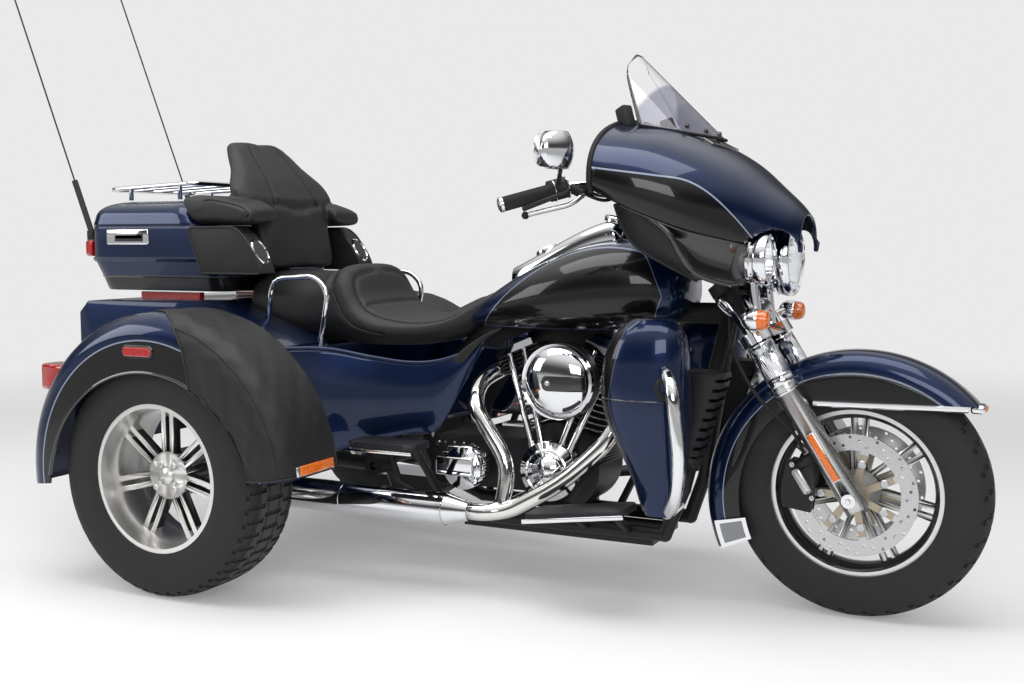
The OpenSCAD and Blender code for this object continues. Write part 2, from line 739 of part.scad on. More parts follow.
// Backbone from the neck to the rear cross tube: share of the way back, share of the way down
backbone_l = 987;
backbone_shares = [[0, 0], [0.595, 0.016], [0.777, 0.166], [0.899, 0.626], [1, 1]];
backbone = [for (s = backbone_shares)
    [neck_x - s[0] * backbone_l, 0, neck_z - neck_drop - s[1] * (neck_z - neck_drop - rear_cross_z)]];
// Rail down from the backbone and back: share of its length, of its half width, of its height
rail_l = 1025;
rail_behind = 62;
rail_shares = [[0, 0.12, 1], [0.088, 0.805, 0.217], [0.132, 0.95, 0], [0.766, 1, 0],
    [0.922, 1, 0.11], [1, 1, 0.47]];
rail = [for (s = rail_shares) [neck_x - rail_behind - s[0] * rail_l, -s[1] * rail_half,
    rail_z + s[2] * (neck_z - 2 * neck_drop - rail_z)]];

module bent_rod(p, r) {
    for (i = [0 : len(p) - 2]) rod(p[i], p[i + 1], r);
    for (i = [1 : len(p) - 2]) translate(p[i]) sphere(r = r * joint_share);
}
module rails() both_sides() {
    bent_rod(rail, rail_r);
    translate([-rear_body_front, -rail_half, rail[5][2]]) rotate([0, 90, 0])
        cylinder(h = rail[5][0] + rear_body_front, r = rail_r);
    translate(rail[5]) sphere(r = rail_r * joint_share);
}

module frame() color("black") difference() {
    union() {
        up_steering() translate([0, 0, neck_low_z / cos(rake)])
            cylinder(h = (neck_top_z - neck_low_z) / cos(rake), r = neck_r);
        bent_rod(backbone, backbone_r);
        rails();
        across(backbone[4][0], backbone[4][2]) cylinder(h = 2 * rail_half, r = rail_r, center = true);
        across(rail[5][0], rail[5][2]) cylinder(h = 2 * rail_half, r = rail_r, center = true);
        rod(backbone[4], [rail[5][0], 0, rail[5][2]], rail_r);
        across(pivot_x, pivot_z) cylinder(h = 2 * pivot_half, r = pivot_r, center = true);
    }
    up_steering() cylinder(h = 2 * neck_top_z, r = stem_r + running_gap);
}

// Engine

crank_x = 375;
crank_z = 326;
crankcase_r = 122;
engine_half = 90;
gearbox_l = 215;
gearbox_h = 146;
gearbox_low = 252;
gearbox_back = 345;
mount_l = 80;
barrel_r = 54;
deck = 128;
head_at = 288;
head_l = 130;
head_h = 52;
head_half = 72;
fin_t = 5;
rocker_h = 36;
rocker_half = 88;
rocker_l = 118;
cam_r = 80;
cam_out = 158;
medallion_r = 42;
medallion_t = 10;
gear_cover_r = 60;
primary_w = 72;
primary_front_r = 92;
primary_rear_r = 78;
primary_l = 255;
pushrod_r = 9;
intake_r = 26;
air_ahead = 36;
air_x = crank_x + air_ahead;
air_z = 572;
intake_z = crank_z + (head_at + head_h / 2) * cos(v_angle / 2) + head_l / 2 * sin(v_angle / 2);
head_reach = (head_at + head_h / 2) * sin(v_angle / 2) - head_l / 2 * cos(v_angle / 2);
air_in = 128;
air_out = 212;
air_dome_r = 230;

module on_cylinder(s) translate([crank_x, 0, crank_z]) rotate([0, s * v_angle / 2, 0]) children();
module crankcase() across(crank_x, crank_z) cylinder(h = 2 * engine_half, r = crankcase_r, center = true);

module engine_case() color("dimgray") union() {
    crankcase();
    translate([crank_x - gearbox_back, -engine_half, gearbox_low])
        cube([gearbox_l + crankcase_r, 2 * engine_half, gearbox_h]);
    across(crank_x - gearbox_back, gearbox_low + gearbox_h / 2)
        cylinder(h = 2 * engine_half, r = gearbox_h / 2, center = true);
    translate([crank_x - mount_l / 2, -rail_half, rail_z + rail_r + seat_gap])
        cube([mount_l, 2 * rail_half, crank_z - primary_front_r - rail_z - rail_r - 2 * seat_gap]);
}

module head(s) on_cylinder(s) translate([-head_l / 2, -head_half, head_at])
    cube([head_l, 2 * head_half, head_h]);

module one_cylinder(s) difference() {
    pitch = (head_at - deck) / fin_count;
    union() {
        on_cylinder(s) {
            cylinder(h = head_at + cut, r = barrel_r);
            for (i = [0 : fin_count - 1]) translate([0, 0, deck + i * pitch])
                cylinder(h = fin_t, d = cylinder_d);
        }
        head(s);
    }
    crankcase();
    translate([s > 0 ? crank_x - 4 * crankcase_r : crank_x, -cylinder_d, 0])
        translate([s > 0 ? fin_t / 2 : -fin_t / 2, 0, 0])
            cube([4 * crankcase_r, 2 * cylinder_d, crank_z + head_at]);
    on_cylinder(s) for (i = [1 : 4], k = [-1, 1])
        translate([-head_l, k * head_half - (k > 0 ? head_half / 4 : 0), head_at + i * head_h / 5])
            cube([2 * head_l, head_half / 4, head_h / 10]);
}
module cylinders() color("black") for (s = [-1, 1]) one_cylinder(s);

module rocker_covers() color("gainsboro") for (s = [-1, 1]) on_cylinder(s)
    translate([0, 0, head_at + head_h]) {
    translate([-rocker_l / 2, -rocker_half, 0]) cube([rocker_l, 2 * rocker_half, rocker_h / 2]);
    translate([-rocker_l * 0.4, -rocker_half * 0.86, rocker_h / 4])
        cube([rocker_l * 0.8, rocker_half * 1.72, rocker_h * 3 / 4]);
}

module cam_drum(r, from, to) across(crank_x, crank_z) translate([0, 0, from]) cylinder(h = to - from, r = r);

function lean_point(s, along, up, y) = let (a = s * v_angle / 2)
    [crank_x + up * sin(a) + along * cos(a), y, crank_z + up * cos(a) - along * sin(a)];

module pushrod_tubes() color("silver") difference() {
    for (s = [-1, 1], k = [-1, 1])
        rod([crank_x + s * cam_r * 0.42 + k * pushrod_r * 1.6, -cam_out + 2 * pushrod_r,
            crank_z + cam_r * 0.5],
            lean_point(s, k * rocker_l * 0.2, head_at + head_h, -rocker_half + pushrod_r * 1.3), pushrod_r);
    cam_drum(cam_r, engine_half, cam_out);
    crankcase();
    for (s = [-1, 1]) {
        head(s);
        on_cylinder(s) translate([0, 0, head_at + head_h]) cylinder(h = rocker_h, r = 2 * rocker_half);
    }
}

module air_cleaner() color("silver") difference() {
    union() {
        intersection() {
            across(air_x, air_z) translate([0, 0, air_in]) cylinder(h = 2 * air_out, d = air_cleaner_d);
            across(air_x, air_z) translate([0, 0, air_out - air_dome_r]) sphere(r = air_dome_r);
        }
        rod([crank_x, 0, intake_z], [crank_x + air_ahead / 2, -air_in - cut, intake_z - intake_r], intake_r);
        across(crank_x, intake_z) rotate([0, 90, 0])
            cylinder(h = 2 * head_reach + intake_r, r = intake_r * 0.8, center = true);
    }
    for (s = [-1, 1]) head(s);
}

module engine_covers() color("silver") {
    union() {
        cam_drum(cam_r, engine_half, cam_out);
        cam_drum(medallion_r, engine_half, cam_out + medallion_t);
    }
    across(crank_x - gearbox_back * 0.75, gearbox_low + gearbox_h * 0.42)
        translate([0, 0, engine_half]) cylinder(h = cam_out - engine_half, r = gear_cover_r);
    mirror([0, 1, 0]) union() {
        across(crank_x, crank_z) translate([0, 0, engine_half]) cylinder(h = primary_w, r = primary_front_r);
        across(crank_x - primary_l, crank_z) translate([0, 0, engine_half])
            cylinder(h = primary_w, r = primary_rear_r);
        translate([crank_x - primary_l, -engine_half - primary_w, crank_z - primary_rear_r])
            cube([primary_l, primary_w, 2 * primary_rear_r]);
    }
}

// Exhaust

muffler_x = 196;
muffler_y = 268;
muffler_z = 224;
muffler_l = 670;
muffler_cone = 70;
muffler_wall = 3;
header_bend = 75;
port_share = 0.35;
header_x = 158;
header_l = 434;
header_h = 388;
function port(s) = lean_point(s, s * head_l * port_share, head_at + head_h / 2, -head_half * port_share);
// Header points after the port: share of the length forward, of the muffler's distance out, of the height
rear_header_shares = [[0, 0.46, 0.87], [0.05, 0.79, 0.71], [0.31, 0.83, 0.325], [0.28, 0.9, 0.03]];
front_header_shares = [[1, 0.52, 0.8], [0.94, 0.71, 0.53], [0.65, 0.81, 0.22], [0.33, 0.9, 0.02]];
header_end = [[muffler_x + header_d, -muffler_y, muffler_z], [muffler_x, -muffler_y, muffler_z]];
function header(s, shares) = concat([port(s)], [for (p = shares)
    [header_x + p[0] * header_l, -p[1] * muffler_y, muffler_z + p[2] * header_h]], header_end);
cross_share = 0.24;
cross_x = header_x + cross_share * header_l;
cross_pipe = [[cross_x, -muffler_y * 0.88, muffler_z], [cross_x, muffler_y * 0.8, muffler_z],
    [muffler_x + header_d, muffler_y, muffler_z], [muffler_x, muffler_y, muffler_z]];

module exhaust_headers() color("silver") difference() {
    union() {
        swept_bar(rounded_path(header(-1, rear_header_shares), header_bend), header_d / 2);
        swept_bar(rounded_path(header(1, front_header_shares), header_bend), header_d / 2);
        swept_bar(rounded_path(cross_pipe, header_bend), header_d * 0.42);
    }
    for (s = [-1, 1]) head(s);
}

module mufflers() color("silver") both_sides() translate([muffler_x, -muffler_y, muffler_z])
    rotate([0, -90, 0]) rotate_extrude()
    polygon([[header_d * 0.36, 0], [header_d / 2 + muffler_wall, 0], [muffler_d / 2, muffler_cone],
        [muffler_d / 2, muffler_l - muffler_cone / 2], [muffler_d * 0.42, muffler_l],
        [muffler_d * 0.38, muffler_l], [muffler_d * 0.38, muffler_l - muffler_cone],
        [0, muffler_l - muffler_cone],
        [0, muffler_cone], [header_d * 0.36, muffler_cone]]);

// Tank, console and seat

tank_x = 90;
tank_z = 693;
tank_round = 2.5;
// Along the tank: place, half width, top, bottom
tank_shares = [[0, 0.3, 0.16, 0.05], [0.05, 0.47, 0.28, 0.035], [0.125, 0.63, 0.43, 0.025],
    [0.25, 0.79, 0.62, 0.01], [0.41, 0.94, 0.81, 0], [0.57, 1, 0.95, 0.01], [0.725, 0.975, 1, 0.04],
    [0.866, 0.87, 0.95, 0.09], [0.96, 0.66, 0.83, 0.165], [1, 0.42, 0.71, 0.28]];
tank_waist_share = 0.42;
tunnel_half = backbone_r + moving_gap;
tunnel_share = 1.12;
function tunnel_top(i) = backbone[i][2] + backbone_r * tunnel_share + seat_gap;

module tank_solid() loft([for (s = tank_shares) oval_x(tank_x + s[0] * tank_l, s[1] * tank_w / 2,
    tank_z + s[3] * tank_h, tank_z + (s[3] + (s[2] - s[3]) * tank_waist_share) * tank_h,
    tank_z + s[2] * tank_h, tank_round)]);

module fuel_tank() color("navy") difference() {
    tank_solid();
    across(0, 0) translate([0, 0, -tunnel_half]) linear_extrude(2 * tunnel_half)
        polygon(concat([[0, 0], [0, tunnel_top(2)]], [for (i = [2, 1, 0]) [backbone[i][0], tunnel_top(i)]],
            [[backbone[0][0], 0]]));
}

console_half = 46;
console_x = 205;
console_l = 330;
// Along the console: place, half width, top
console_shares = [[0, 0.5, 0.68], [0.12, 0.8, 0.75], [0.35, 0.95, 0.9], [0.65, 1, 1.09], [0.88, 1, 1.19],
    [0.96, 0.9, 1.18], [1, 0.7, 1.1]];
module tank_console() color("silver") difference() {
    loft([for (s = console_shares) oval_x(console_x + s[0] * console_l, s[1] * console_half,
        tank_z + tank_h * 0.5, tank_z + tank_h * 0.6, tank_z + s[2] * tank_h, 3)]);
    tank_solid();
}

seat_x = -600;
seat_l = 775;
seat_w = 410;
seat_top = 872;
seat_h = 226;
pocket_z = seat_top - seat_h;
seat_round = 3;
// Along the seat from the rear: place, half width, top, bottom
seat_shares = [[0, 0.8, 0.86, 0.02], [0.03, 0.94, 0.92, 0], [0.14, 0.98, 0.9, 0], [0.3, 0.97, 0.9, 0],
    [0.37, 0.96, 0.97, 0], [0.415, 0.97, 1, 0], [0.45, 1, 0.95, 0], [0.5, 1.02, 0.62, 0], [0.58, 1, 0.42, 0],
    [0.7, 0.86, 0.37, 0.02], [0.8, 0.66, 0.42, 0.08], [0.88, 0.5, 0.55, 0.2], [0.95, 0.36, 0.7, 0.42],
    [1, 0.2, 0.77, 0.6]];

module seat() color("black") difference() {
    loft([for (s = seat_shares) let (low = pocket_z + seat_gap)
        oval_x(seat_x + s[0] * seat_l, s[1] * seat_w / 2,
        low + s[3] * seat_h, low + (s[3] + s[2]) / 2 * seat_h, low + s[2] * seat_h, seat_round)]);
    tank_solid();
    bent_rod(backbone, backbone_r + seat_gap);
}

// Rear body with the trunk, its door, side covers and rear fenders

rear_body_front = 285;
rear_body_back = rear_body_front + body_l;
body_top = 772;
body_low = 430;
body_skirt = 345;
body_slope_x = -600;
body_front_top = 660;
crest_r = 34;
trunk_half = body_w / 2 - 3 * case_wall;
trunk_floor = body_low + 2 * case_wall;
door_half = 330;
door_low = 470;
door_top = 722;
door_t = 15;
door_lap = 12;
hinge_r = 9;
hinge_pin_r = 5;
hinge_out = 12;
lug_h = 30;
hinge_stand = 4;
door_axis_y = door_half + door_lap + hinge_r + hinge_stand;
pocket_half = seat_w / 2 * 1.06;
pocket_back = -640;

module body_block() across(0, 0) translate([0, 0, -body_w / 2]) linear_extrude(body_w) union() {
    polygon([[-rear_body_back, body_skirt], [-rear_body_back, body_top - crest_r],
        [-rear_body_back + crest_r, body_top], [body_slope_x, body_top], [-rear_body_front, body_front_top],
        [-rear_body_front, body_low], [-rear_body_back + 2 * crest_r, body_low],
        [-rear_body_back + 2 * crest_r, body_skirt]]);
}

module rear_body() color("navy") union() {
    difference() {
        body_block();
        translate([pocket_back, -pocket_half, pocket_z]) cube([2 * body_l, 2 * pocket_half, body_top]);
        translate([-rear_body_back + 2 * case_wall, -trunk_half, trunk_floor])
            cube([rear_body_back + pocket_back - 4 * case_wall, 2 * trunk_half,
                body_top - case_wall - trunk_floor]);
        both_sides() across(rear_axle_x, rear_axle_z)
            translate([0, 0, rear_wheel_y - rear_tyre_w / 2 - moving_gap])
            cylinder(h = body_w, r = rear_tyre_d / 2 + moving_gap);
        translate([-rear_body_back - cut, -door_half, door_low])
            cube([4 * case_wall, 2 * door_half, door_top - door_low]);
    }
    for (z = [door_low, (door_low + door_top - lug_h) / 2, door_top - lug_h])
        translate([-rear_body_back - hinge_out, door_axis_y - hinge_pin_r, z])
            cube([hinge_out, 2 * hinge_pin_r, lug_h]);
    translate([-rear_body_back - hinge_out, door_axis_y, door_low])
        cylinder(h = door_top - door_low, r = hinge_pin_r);
}

module trunk_door() color("navy") difference() {
    union() {
        translate([-rear_body_back - seat_gap - door_t, -door_half - door_lap, door_low - door_lap])
            cube([door_t, 2 * (door_half + door_lap), door_top - door_low + 2 * door_lap]);
        for (z = [door_low + lug_h + 2 * cut, (door_low + door_top + lug_h) / 2 + 2 * cut])
            translate([-rear_body_back - hinge_out, door_axis_y, z]) {
                cylinder(h = lug_h, r = hinge_r);
                translate([-hinge_r, -hinge_r - door_lap, 0]) cube([hinge_r, hinge_r + door_lap, lug_h]);
            }
    }
    translate([-rear_body_back - hinge_out, door_axis_y, 0])
        cylinder(h = body_top, r = hinge_pin_r + running_gap);
}

cover_wall = 14;
cover_rows = 6;
// Along the side cover, back to front: place, out from the middle, top, bottom
cover_l = 484;
cover_out = body_w / 2 - cover_wall - seat_gap;
cover_z = 345;
cover_h = 331;
cover_shares = [[0, 1, 0.94, 0], [0.17, 0.79, 0.925, 0.05], [0.38, 0.66, 0.855, 0.14],
    [0.585, 0.58, 0.81, 0.21], [0.75, 0.52, 0.825, 0.26], [0.9, 0.468, 0.9, 0.65], [1, 0.43, 1, 0.94]];
function cover_grid(inset) = [for (s = cover_shares) [for (j = [0 : cover_rows]) let (t = j / cover_rows)
    [-rear_body_front + seat_gap + s[0] * cover_l,
     -(s[1] * cover_out - inset) + sin(180 * t) * -cover_wall,
     cover_z + cover_h * (s[2] + (s[3] - s[2]) * t)]]];
module side_covers() color("navy") both_sides() thick_sheet(cover_grid(0), cover_grid(cover_wall));

fender_half = rear_wheel_y + rear_tyre_w / 2 + fender_room;
fender_in = body_w / 2 + seat_gap;
fender_corner = 66;
fender_inner_corner = 40;
fender_deep = 190;
fender_in_deep = 92;
lip_r = 345;
lip_fall = 62;
rear_fender_from = 4;
rear_fender_sweep = 182;

function rear_fender_line(t) = concat([[rear_fender_r - fender_deep, fender_half - t]],
    arc(rear_fender_r - fender_corner, fender_half - fender_corner, fender_corner - t, 90, 0, 8),
    arc(rear_fender_r - fender_inner_corner, fender_in + fender_inner_corner, fender_inner_corner - t,
        0, -90, 5),
    [[rear_fender_r - fender_in_deep, fender_in + t]]);

module rear_fender() difference() {
    across(rear_axle_x, rear_axle_z) rotate([0, 0, rear_fender_from])
    rotate_extrude(angle = rear_fender_sweep) {
        inside = rear_fender_line(fender_wall);
        polygon(concat(rear_fender_line(0), [for (i = [len(inside) - 1 : -1 : 0]) inside[i]]));
    }
    across(rear_axle_x, rear_axle_z - lip_fall) translate([0, 0, fender_half - fender_corner])
        cylinder(h = fender_corner + cut, r = lip_r);
}
module rear_fender_right() color("navy") rear_fender();
module rear_fender_left() color("navy") mirror([0, 1, 0]) rear_fender();

// Rear axle, air springs and footboards

housing_r = 38;
housing_half = rear_wheel_y - rear_hub_back - moving_gap;
diff_r = 92;
arm_y = 172;
arm_r = 20;
arm_boss_r = 28;
spring_r = 34;
spring_x = -400;

module rear_axle() color("dimgray") difference() {
    union() {
        across(rear_axle_x, rear_axle_z) {
            cylinder(h = 2 * housing_half, r = housing_r, center = true);
            cylinder(h = 2 * (housing_half + stub_l), d = stub_d, center = true);
        }
        translate([rear_axle_x, 0, rear_axle_z]) sphere(r = diff_r);
        for (s = [-1, 1]) {
            rod([rear_axle_x, s * arm_y, rear_axle_z], [pivot_x, s * arm_y, pivot_z], arm_r);
            across(pivot_x, pivot_z) translate([0, 0, s * arm_y])
                cylinder(h = 2 * arm_boss_r, r = arm_boss_r, center = true);
        }
    }
    across(pivot_x, pivot_z) cylinder(h = 4 * arm_y, r = pivot_r, center = true);
}

module shock_absorbers() color("black") difference() {
    for (s = [-1, 1]) translate([spring_x, s * arm_y, pivot_z])
        cylinder(h = body_low - seat_gap - pivot_z, r = spring_r);
    for (s = [-1, 1])
        rod([rear_axle_x, s * arm_y, rear_axle_z], [pivot_x, s * arm_y, pivot_z], arm_r + seat_gap);
    for (s = [-1, 1]) translate([spring_x - 2 * spring_r, s * arm_y - 2 * spring_r, 0])
        cube([4 * spring_r, 4 * spring_r, rear_axle_z]);
}

board_x = 396;
board_l = 274;
board_w = 118;
board_t = 16;
board_in = 246;
board_z = 238;
board_tilt = 8;
board_arm_r = 11;
pillion_board_x = -100;
pillion_board_l = 205;
pillion_board_w = 110;
pillion_board_in = 302;
pillion_board_z = 398;

// Rounded board lying inward edge on the X axis, from the origin forward
module board(l, w) linear_extrude(board_t) union() {
    translate([w / 4, 0]) square([l - w / 2, w]);
    translate([0, w / 4]) square([l, w / 2]);
    for (x = [w / 4, l - w / 4], y = [w / 4, w * 3 / 4]) translate([x, y]) circle(r = w / 4);
}
module rider_footboards() color("black") both_sides() {
    arm_x = board_x + board_l / 2;
    union() {
        translate([board_x, -board_in - board_w, board_z]) rotate([0, -board_tilt, 0])
            board(board_l, board_w);
        difference() {
            for (k = [-1, 1]) rod([arm_x + k * board_w / 2, -rail_half, rail_z],
                [arm_x + k * board_w / 2, -board_in - board_w / 4,
                 board_z + (board_l / 2 + k * board_w / 2) * tan(board_tilt) + board_t / 2], board_arm_r);
            rails();
        }
    }
}
module passenger_footboards() color("black") both_sides() union() {
    translate([pillion_board_x, -pillion_board_in - pillion_board_w, pillion_board_z])
        board(pillion_board_l, pillion_board_w);
    difference() {
        arm_x = pillion_board_x + pillion_board_l * 0.75;
        rod([arm_x, -rail_half, rail_z],
            [arm_x, -pillion_board_in - board_arm_r * 2, pillion_board_z + board_t / 2], board_arm_r);
        rails();
    }
}

// Leg shields, radiators, engine guard and skid plate

shield_x = 700;
shield_y = 266;
shield_low = 268;
shield_h = 486;
shield_half_x = 108;
shield_half_y = 86;
shield_round = 2.6;
// Up the leg shield: height, place forward, half length, half width
shield_shares = [[0, 0.26, 0.34, 0.36], [0.07, 0.26, 0.46, 0.46], [0.2, 0.22, 0.6, 0.64],
    [0.36, 0.08, 0.8, 0.84], [0.52, -0.06, 0.97, 0.98], [0.68, -0.1, 1, 1], [0.82, -0.07, 0.94, 0.95],
    [0.93, 0, 0.76, 0.78], [1, 0.06, 0.44, 0.46]];
module shield() loft([for (s = shield_shares) oval_z(shield_low + s[0] * shield_h,
    shield_x + s[1] * shield_half_x, -shield_y, s[2] * shield_half_x, s[3] * shield_half_y, shield_round)]);
module leg_shields() color("navy") both_sides() shield();

radiator_in = 116;
radiator_low = 372;
radiator_h = 246;
radiator_x = 742;
radiator_l = 128;
slat_count = 9;
module radiators() color("black") both_sides() difference() {
    across(0, 0) translate([0, 0, radiator_in]) linear_extrude(shield_y - shield_half_y * 0.8 - radiator_in)
        polygon([[radiator_x, radiator_low], [radiator_x + radiator_l * 0.38, radiator_low],
            [radiator_x + radiator_l, radiator_low + radiator_h],
            [radiator_x + radiator_l * 0.1, radiator_low + radiator_h]]);
    for (i = [1 : slat_count]) let (t = i / (slat_count + 1))
        translate([radiator_x + radiator_l * (0.22 + 0.62 * t), -shield_y, radiator_low + radiator_h * t])
        cube([radiator_l, shield_y - radiator_in - moving_gap, radiator_h / slat_count / 3]);
    shield();
}

guard_r = 16;
guard_x = 718;
guard_l = 97;
guard_half = 388;
guard_low = 258;
guard_h = 374;
// Round the guard from the rail: share of its length, of its half width, of its height
guard_shares = [[0.06, 0.258, 0.01], [0.124, 0.644, 0], [0.763, 0.889, 0.171], [1, 1, 0.433],
    [0.794, 1, 0.893],
    [0.515, 0.889, 1], [0, 0.69, 0.995]];
guard_path = [for (s = guard_shares)
    [guard_x + s[0] * guard_l, -s[1] * guard_half, guard_low + s[2] * guard_h]];
module engine_guard() color("silver") difference() {
    both_sides() swept_bar(rounded_path(guard_path, shield_half_y), guard_r);
    both_sides() shield();
    rails();
}

skid_t = 16;
skid_half = 108;
skid_l = 560;
module skid_plate() color("black")
    translate([crank_x - skid_l / 2, -skid_half, rail_z - rail_r - seat_gap - skid_t])
    cube([skid_l, 2 * skid_half, skid_t]);

// Top case, lid, rack and pads

case_x = -1125;
case_z = 796;
case_corner = 48;
case_draft = 26;
plate_t = 0.1;
lid_gap = 1;
lid_shoulder = 8;
lid_shoulder_share = 0.6;
lid_draft = 52;
lid_short = 92;
lid_lean = 50;
foot_l = 60;
foot_half = 150;
foot_share = 0.28;
lug_share_lid = 0.1;
lug_share_case = 0.2;
case_front = case_x + case_l;
case_mid_x = case_x + case_l / 2;
part_z = case_z + case_h;
lid_axis_y = case_w / 2 + hinge_r + hinge_stand;
lid_axis_z = part_z;

// Box through several levels: each has a height, an inset, and an inset at the front
module levels(list, wall) hull() for (v = list) translate([0, 0, v[0]]) linear_extrude(plate_t)
    rounded_plate(case_x + v[1] + wall, case_front - v[2] - wall, case_w / 2 - v[1] - wall, case_corner);

// The tub's form: drawn in below its middle and straight above, up to a height
module tub(low, top, front, wall) {
    levels([[low, case_draft, front + case_draft], [case_z + case_h / 2, 0, front]], wall);
    translate([0, 0, case_z + case_h / 2]) linear_extrude(top - case_z - case_h / 2)
        rounded_plate(case_x + wall, case_front - front - wall, case_w / 2 - wall, case_corner);
}

module top_case() color("dimgray") union() {
    difference() {
        tub(case_z, part_z, 0, 0);
        tub(case_z + case_wall, part_z + cut, lid_short, case_wall);
    }
    for (s = [-1, 1], k = [-1, 1])
        translate([case_mid_x + k * case_l * foot_share - foot_l / 2, s * foot_half - foot_l / 2,
            body_top + seat_gap]) cube([foot_l, foot_l, case_z - body_top - seat_gap]);
    for (k = [-1, 1]) translate([case_mid_x + k * case_l * lug_share_case, 0, part_z - hinge_r]) {
        translate([0, case_w / 2 - cut, 0]) cube([lug_h, lid_axis_y - case_w / 2 + cut, hinge_pin_r]);
        translate([0, lid_axis_y - hinge_pin_r, 0]) cube([lug_h, 2 * hinge_pin_r, hinge_r]);
    }
    translate([case_mid_x - case_l * lug_share_case, lid_axis_y, lid_axis_z]) rotate([0, 90, 0])
        cylinder(h = 2 * case_l * lug_share_case + lug_h, r = hinge_pin_r);
}

function lid_front(up) = lid_short + lid_lean * up / lid_h;
module lid_shell(low, wall) levels([[low, 0, lid_front(low - part_z)],
    [part_z + lid_h * lid_shoulder_share - wall, lid_shoulder, lid_front(lid_h * lid_shoulder_share)],
    [part_z + lid_h - plate_t - wall, lid_draft, lid_front(lid_h)]], wall);

module case_lid() color("navy") difference() {
    union() {
        difference() {
            lid_shell(part_z + lid_gap, 0);
            lid_shell(part_z + lid_gap - cut, case_wall);
        }
        for (k = [-1, 1]) translate([case_mid_x + k * case_l * lug_share_lid, 0, lid_axis_z]) {
            translate([0, lid_axis_y, 0]) rotate([0, 90, 0]) cylinder(h = lug_h, r = hinge_r);
            translate([0, case_w / 2 - cut, lid_gap])
                cube([lug_h, lid_axis_y - case_w / 2 + cut, hinge_r - lid_gap]);
        }
    }
    translate([case_mid_x, lid_axis_y, lid_axis_z]) rotate([0, 90, 0])
        cylinder(h = case_l, r = hinge_pin_r + running_gap, center = true);
}

rack_r = 7;
rack_half = 188;
rack_up = 42;
rack_tail = 8;
rack_l = 337;
rack_rise = 14;
rack_bend = 28;
rack_post_shares = [0.25, 0.83];
rack_back = case_x + rack_tail;
rack_front = rack_back + rack_l;
rack_z = part_z + lid_h + rack_up;
function rack_point(share, y) = [rack_back + share * rack_l, y, rack_z + (share - 0.5) * rack_rise];
module luggage_rack() color("silver") difference() {
    union() {
        both_sides() swept_bar(rounded_path([rack_point(1, cut), rack_point(1, -rack_half),
            rack_point(0, -rack_half), rack_point(0, cut)], rack_bend), rack_r);
        for (k = [-1, 0, 1])
            rod(rack_point(1, k * rack_half / 2), rack_point(0, k * rack_half / 2), rack_r * 0.7);
        for (s = [-1, 1], p = rack_post_shares) let (top = rack_point(p, s * rack_half))
            rod([top[0], top[1], part_z + lid_h], top, rack_r);
    }
    translate([case_x, -case_w, 0]) cube([case_l, 2 * case_w, part_z + lid_h + seat_gap]);
}

pad_low = 856;
pad_h = 390;
pad_x = -551;
pad_lean = 165;
pad_half_t = 37;
pad_half_w = 190;
pad_round = 3.2;
// Up the back pad: height, lean, half width
pad_shares = [[0, 0, 0.86], [0.04, 0.01, 0.96], [0.2, 0.03, 0.98], [0.38, 0.07, 0.98], [0.52, 0.17, 1.2],
    [0.6, 0.28, 1.26], [0.68, 0.4, 1.1], [0.78, 0.58, 0.84], [0.9, 0.81, 0.7],
    [0.97, 0.94, 0.56], [1, 1, 0.4]];
wing_in = 150;
wing_out = 300;
wing_l = 202;
wing_low = 985;
wing_h = 95;
wing_round = 4;
// Along a wing of the back pad, from the lid forward: place, low edge, top edge, outer edge
wing_shares = [[0, 0.08, 0.96, 0.97], [0.3, 0.07, 1, 1], [0.6, 0.06, 0.87, 1], [0.82, 0.06, 0.68, 0.99],
    [0.95, 0.1, 0.48, 0.96], [1, 0.2, 0.34, 0.9]];
// A wing's section; its back follows the lean of the lid's front
function wing_ring(s) = let (half = (s[3] * wing_out - wing_in) / 2, low = wing_low + s[1] * wing_h,
        top = wing_low + s[2] * wing_h)
    [for (p = oval_x(case_front - lid_short + seat_gap + s[0] * wing_l, half, low, (low + top) / 2, top,
        wing_round))
        p - [(1 - s[0]) * lid_lean * (p[2] - part_z) / lid_h, wing_in + half, 0]];
module backrest() color("black") union() {
    loft([for (s = pad_shares) oval_z(pad_low + s[0] * pad_h, pad_x - s[1] * pad_lean, 0,
        pad_half_t, s[2] * pad_half_w, pad_round)]);
    both_sides() loft([for (s = wing_shares) wing_ring(s)]);
}

// Speaker pods, lamps, aerials and grab rails

pod_in = 226;
pod_skin = 8;
pod_low = 850;
pod_h = 134;
pod_l = 151;
// Side of a pod about the case's front lower edge: share forward, share up
pod_shares = [[-0.46, 0], [1, 0], [0.9, 0.3], [0.74, 0.57], [0.55, 0.84], [0.34, 1], [-0.77, 1]];
module speaker_pods() color("black") both_sides() difference() {
    across(case_front, pod_low) translate([0, 0, pod_in])
        linear_extrude(case_w / 2 + seat_gap + pod_skin - pod_in)
        polygon([for (s = pod_shares) [s[0] * pod_l, s[1] * pod_h]]);
    translate([case_front - case_l, -case_w / 2 - seat_gap, 0]) cube([case_l + seat_gap, case_w, part_z]);
}

case_lamp_w = 78;
case_lamp_h = 50;
case_lamp_t = 24;
case_lamp_z = 898;
case_lamp_y = 190;
lamp_corner = 12;
lamp_dome_r = 90;
tail_lamp_half = 42;
tail_lamp_h = 71;
tail_lamp_y = 602;
tail_lamp_x = -956;
tail_lamp_z = 535;
strip_y = 215;
strip_x = -960;
strip_l = 229;
strip_t = 20;
strip_h = 18;
